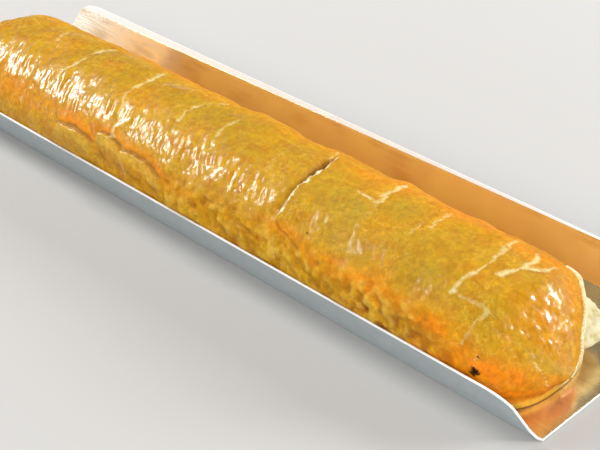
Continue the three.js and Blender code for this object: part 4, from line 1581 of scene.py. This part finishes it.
@dataclass
class DoughRun:
    """The soft dough inside, which shows as a lumpy mass at the open corner.

    Lengths are in millimetres. A ramp is where something starts and ends.
    """

    form: DoughForm = field(default_factory=DoughForm)
    finish: PaleDough = field(default_factory=PaleDough)
    sides: int = 150
    hidden_rings: int = 24
    free_rings: int = 84
    first_ring: float = 0.1
    fine_from: float = 146.0
    end_middle: float = 10.0
    lumps: tuple[LatticeNoise, ...] = (LatticeNoise(41, 5.2), LatticeNoise(42, 2.6, 0.5))
    bubbles: LatticeNoise = LatticeNoise(43, 1.5)
    lump_height: float = 1.5
    bubble_height: float = 0.35
    lumpy_from: Ramp = (150.0, 160.0)
    floor_gap: float = 0.4
    hollow_depth: Ramp = (-0.1, 0.9)
    hollow_bubbles: float = 0.6
    hollow_shade: float = 0.8
    shaded_below: Ramp = (5.0, 13.0)
    low_shade: float = 0.6

    def build(self) -> bpy.types.Object:
        """Builds the dough.

        Returns:
            The finished piece.
        """
        form = self.form
        hidden = np.linspace(form.left + self.first_ring, self.fine_from, self.hidden_rings)
        turn = np.linspace(0.0, math.pi / 2, self.free_rings + 1)[1:-1]
        free = self.fine_from + (form.right - self.fine_from) * np.sin(turn)
        x = np.concatenate([hidden, free])[:, None]
        angle = (np.arange(self.sides) / self.sides * 2.0 * math.pi)[None, :]
        middle_y, middle_z, half_width, half_height = form.outline(x)
        left_end = np.clip(1.0 - (x - form.left) / form.roll.left_cap, 0.0, 1.0)
        right_end = np.clip(1.0 - (form.right - x) / form.mouth_half_width, 0.0, 1.0)
        share = np.sqrt(1.0 - left_end**2) * np.sqrt(1.0 - right_end**2)
        y = middle_y + half_width * share * np.cos(angle)
        z = middle_z + half_height * share * np.sin(angle)
        base = np.stack([x + 0.0 * y, y, z], axis=-1)
        middle_x = np.minimum(x, form.right - self.end_middle)
        outward = base - np.stack([middle_x, middle_y, middle_z], axis=-1)
        outward /= np.maximum(np.linalg.norm(outward, axis=-1, keepdims=True), TINY)
        lumps = layered(self.lumps, base)
        bubbles = self.bubbles.at(base)
        out = smooth(x, *self.lumpy_from) * (self.lump_height * lumps + self.bubble_height * bubbles)
        points = base + outward * out[..., None]
        points[..., 2] = np.maximum(points[..., 2], form.roll.tray.thickness + self.floor_gap)
        left_tip = (form.left, form.roll.middle_y, form.roll.widest_z)
        skin = with_tips(points, left_tip, (form.right, form.mouth_y, form.mouth_z))
        piece = make_object("soft_dough", skin, ring_faces(len(x), self.sides))
        # Painted shade: the dough is darker in the hollows between lumps and low down.
        hollow = smooth(-(lumps + self.hollow_bubbles * bubbles), *self.hollow_depth)
        low = 1.0 - smooth(points[..., 2], *self.shaded_below)
        shaded = np.maximum(self.hollow_shade * hollow, self.low_shade * low)
        paint(piece, DOUGH_SHADE, with_tips(shaded, shaded[0, 0], shaded[-1, 0]))
        piece.data.materials.append(self.finish.material())
        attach(piece, BODY)
        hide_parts("inner_dough")
        return piece


@dataclass
class CardTray:
    """The folded tray: white card with gold foil inside. Lengths are in millimetres."""

    form: TrayForm = field(default_factory=TrayForm)
    card_finish: WhiteCard = field(default_factory=WhiteCard)
    foil_finish: GoldFoil = field(default_factory=GoldFoil)
    columns: int = 160
    fold_steps: int = 8
    wall_steps: int = 16
    floor_steps: int = 12
    foil_gap: float = 0.02
    foil_thickness: float = 0.05
    foil_inset: float = 0.25
    foil_margins: Ramp = (3.4, 0.5)

    def stations(self) -> tuple[np.ndarray, np.ndarray, np.ndarray, np.ndarray]:
        """The card's bent section, from one wall's edge to the other's.

        Returns:
            Places across and up, the bend's angle, and the way up the wall's slope, each an array.
        """
        total = math.pi / 2 - self.form.lean
        setback = self.form.fold_radius * math.tan(total / 2)
        flat = self.form.floor_width / 2 - setback
        floor_y = np.linspace(0.0, flat, self.floor_steps, endpoint=False)
        bend = np.linspace(0.0, total, self.fold_steps + 1)
        fold_y = flat + self.form.fold_radius * np.sin(bend)
        fold_z = self.form.fold_radius * (1.0 - np.cos(bend))
        part = np.sin(np.linspace(0.0, math.pi / 2, self.wall_steps + 1))[1:]
        up = setback + (self.form.wall_slope - setback) * part
        wall_y = self.form.floor_width / 2 + up * math.sin(self.form.lean)
        wall_z = up * math.cos(self.form.lean)
        on_floor = np.zeros(self.floor_steps)
        y = np.concatenate([floor_y, fold_y, wall_y])
        z = np.concatenate([on_floor, fold_z, wall_z])
        turn = np.concatenate([on_floor, bend, np.full(len(up), total)])
        slope = np.concatenate([on_floor, bend / total * setback, up])
        mirror = slice(None, 0, -1)
        return (np.concatenate([-y[mirror], y]), np.concatenate([z[mirror], z]),
                np.concatenate([-turn[mirror], turn]), np.concatenate([slope[mirror], slope]))

    def faces(self, rows: int) -> list[tuple[int, ...]]:
        """Faces of a closed sheet of two layers of points.

        Args:
            rows: How many rows of points a layer has.

        Returns:
            The faces: the outer layer's, the inner layer's, and those of the edge between them.
        """
        columns = self.columns
        layer = rows * columns
        row, column = np.meshgrid(np.arange(rows - 1), np.arange(columns - 1), indexing="ij")
        first = (row * columns + column).ravel()
        outer = np.stack([first, first + columns, first + columns + 1, first + 1], axis=-1)
        inner = outer[:, ::-1] + layer
        edge = ([r * columns for r in range(rows)]
                + [(rows - 1) * columns + c for c in range(1, columns)]
                + [r * columns + columns - 1 for r in range(rows - 2, -1, -1)]
                + [c for c in range(columns - 2, 0, -1)])
        rim = [[b, a, a + layer, b + layer] for a, b in zip(edge, edge[1:] + edge[:1])]
        return [tuple(face) for face in outer.tolist() + inner.tolist() + rim]

    def sheet(self, name: str, low: float, high: float, margins: Ramp, inset: float) -> bpy.types.Object:
        """A closed bent sheet that follows the card.

        Args:
            name: The piece's name.
            low: How far the sheet's outer face lies inside the card's outer face.
            high: How far its inner face does.
            margins: How far it stops short of the walls' edges at the left and the right end.
            inset: How far it stops short of the card's two ends.

        Returns:
            The sheet as an object.
        """
        form = self.form
        y, z, turn, slope = (values[:, None] for values in self.stations())
        t = (1.0 - np.cos(np.linspace(0.0, math.pi, self.columns))) / 2.0
        short = (margins[0] + (margins[1] - margins[0]) * t)[None, :]
        reach_up = (form.wall_slope - short) / form.wall_slope
        fold_up = slope[len(slope) // 2 + self.floor_steps + self.fold_steps, 0]
        wall = slope > fold_up
        risen = (slope - fold_up) * (form.wall_slope * reach_up - fold_up) / (form.wall_slope - fold_up)
        up = np.where(wall, fold_up + risen, slope)
        across = np.where(wall, np.sign(turn) * (form.floor_width / 2 + up * math.sin(form.lean)), y)
        height = np.where(wall, up * math.cos(form.lean), z)
        along = (form.length / 2 - inset - form.end_cut(up)) * (2.0 * t - 1.0)[None, :]
        points = [np.stack([along, across - np.sin(turn) * depth, height + np.cos(turn) * depth], axis=-1)
                  for depth in (low, high)]
        return make_object(name, np.concatenate(points).reshape(-1, 3), self.faces(len(slope)))

    def build(self) -> list[bpy.types.Object]:
        """Builds the card and its foil.

        Returns:
            The two finished pieces.
        """
        foil_low = self.form.thickness + self.foil_gap
        card = self.sheet("tray_card", 0.0, self.form.thickness, (0.0, 0.0), 0.0)
        foil = self.sheet("tray_foil", foil_low, foil_low + self.foil_thickness, self.foil_margins,
                          self.foil_inset)
        paint(card, INSIDE, np.repeat([0.0, 1.0], len(card.data.vertices) // 2))
        card.data.materials.append(self.card_finish.material())
        foil.data.materials.append(self.foil_finish.material())
        for piece in (card, foil):
            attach(piece, BODY)
            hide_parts("card_tray")
        return [card, foil]


@dataclass(frozen=True)
class SoftBox:
    """A soft studio light, which may leave no glint of its own."""

    name: str
    place: tuple[float, float, float]
    aim: tuple[float, float, float]
    size: tuple[float, float]
    power: float
    glint: bool = True
    tint: tuple[float, float, float] = (1.0, 1.0, 1.0)

    def build(self) -> None:
        """Adds the light to the scene."""
        lamp = bpy.data.lights.new(self.name, "AREA")
        lamp.shape = "RECTANGLE"
        lamp.size, lamp.size_y = self.size
        lamp.energy = self.power
        lamp.color = self.tint
        stand = bpy.data.objects.new(self.name, lamp)
        stand.location = self.place
        stand.visible_glossy = self.glint
        stand.rotation_euler = (Vector(self.aim) - Vector(self.place)).to_track_quat("-Z", "Y").to_euler()
        bpy.context.scene.collection.objects.link(stand)


@dataclass
class Studio:
    """A pale floor, soft lights and the camera. Places are in metres."""

    floor_half: float = 3.0
    floor_finish: PaleFloor = field(default_factory=PaleFloor)
    camera_place: tuple[float, float, float] = (0.3787, -0.3538, 0.3146)
    camera_forward: tuple[float, float, float] = (-0.5909, 0.5993, -0.5401)
    lens_mm: float = 85.1
    sensor_mm: float = 36.0
    nearest: float = 0.01
    air: tuple[float, float, float, float] = (1.0, 0.99, 0.97, 1.0)
    air_strength: float = 0.12
    # The windows and the two cards leave glints in the glaze and the foil, and the fills leave none.
    lights: tuple[SoftBox, ...] = (
        SoftBox("window", (-0.77, -0.08, 0.74), (0.0, -0.02, 0.02), (0.42, 0.21), 7.8),
        SoftBox("end_window", (0.72, 0.66, 0.33), (0.16, -0.02, 0.03), (0.27, 0.24), 5.3),
        SoftBox("top_fill", (0.1, 0.1, 1.1), (0.0, 0.0, 0.02), (0.8, 0.8), 1.2, False),
        SoftBox("front_fill", (-0.25, -0.85, 0.65), (0.0, 0.0, 0.02), (0.9, 0.6), 3.6, False),
        SoftBox("end_fill", (0.75, -0.55, 0.3), (0.16, 0.0, 0.02), (0.4, 0.4), 5.2, False),
        SoftBox("back_fill", (0.0, 0.9, 0.55), (0.0, 0.0, 0.02), (0.9, 0.5), 7.0, False),
        SoftBox("end_card", (-0.954, -0.540, 0.176), (-0.17, 0.05, 0.01), (0.14, 0.14), 0.34,
                tint=(0.38, 0.56, 1.0)),
        SoftBox("gold_card", (-0.837, -0.673, 0.180), (-0.14, 0.05, 0.01), (0.16, 0.14), 0.08,
                tint=(1.0, 0.5, 0.06)),
    )

    def build(self) -> None:
        """Adds the floor, the lights, the air and the camera."""
        half = self.floor_half / MM
        corners = np.array([[-half, -half, 0.0], [half, -half, 0.0], [half, half, 0.0], [-half, half, 0.0]])
        floor = make_object("studio_floor", corners, [(0, 1, 2, 3)])
        floor.data.materials.append(self.floor_finish.material())
        for light in self.lights:
            light.build()
        scene = bpy.context.scene
        world = bpy.data.worlds.new("studio_air")
        world.use_nodes = True
        background = world.node_tree.nodes["Background"]
        set_inputs(world.node_tree, background, {"Color": self.air, "Strength": self.air_strength})
        scene.world = world
        scene.view_settings.view_transform = "Standard"
        lens = bpy.data.cameras.new("camera")
        lens.lens = self.lens_mm
        lens.sensor_width = self.sensor_mm
        lens.clip_start = self.nearest
        camera = bpy.data.objects.new("camera", lens)
        camera.location = self.camera_place
        camera.rotation_euler = Vector(self.camera_forward).to_track_quat("-Z", "Y").to_euler()
        scene.collection.objects.link(camera)
        scene.camera = camera


def main() -> None:
    """Builds the pieces in order and reports each one."""
    logging.basicConfig(level=logging.INFO, format="%(name)s: %(message)s")
    Studio().build()
    pieces = [PastryCrust().build(), DoughRun().build(), *CardTray().build()]
    for piece in pieces:
        mesh = piece.data
        log.info("%s has %d points and %d faces", piece.name, len(mesh.vertices), len(mesh.polygons))


if __name__ == "__main__":
    main()
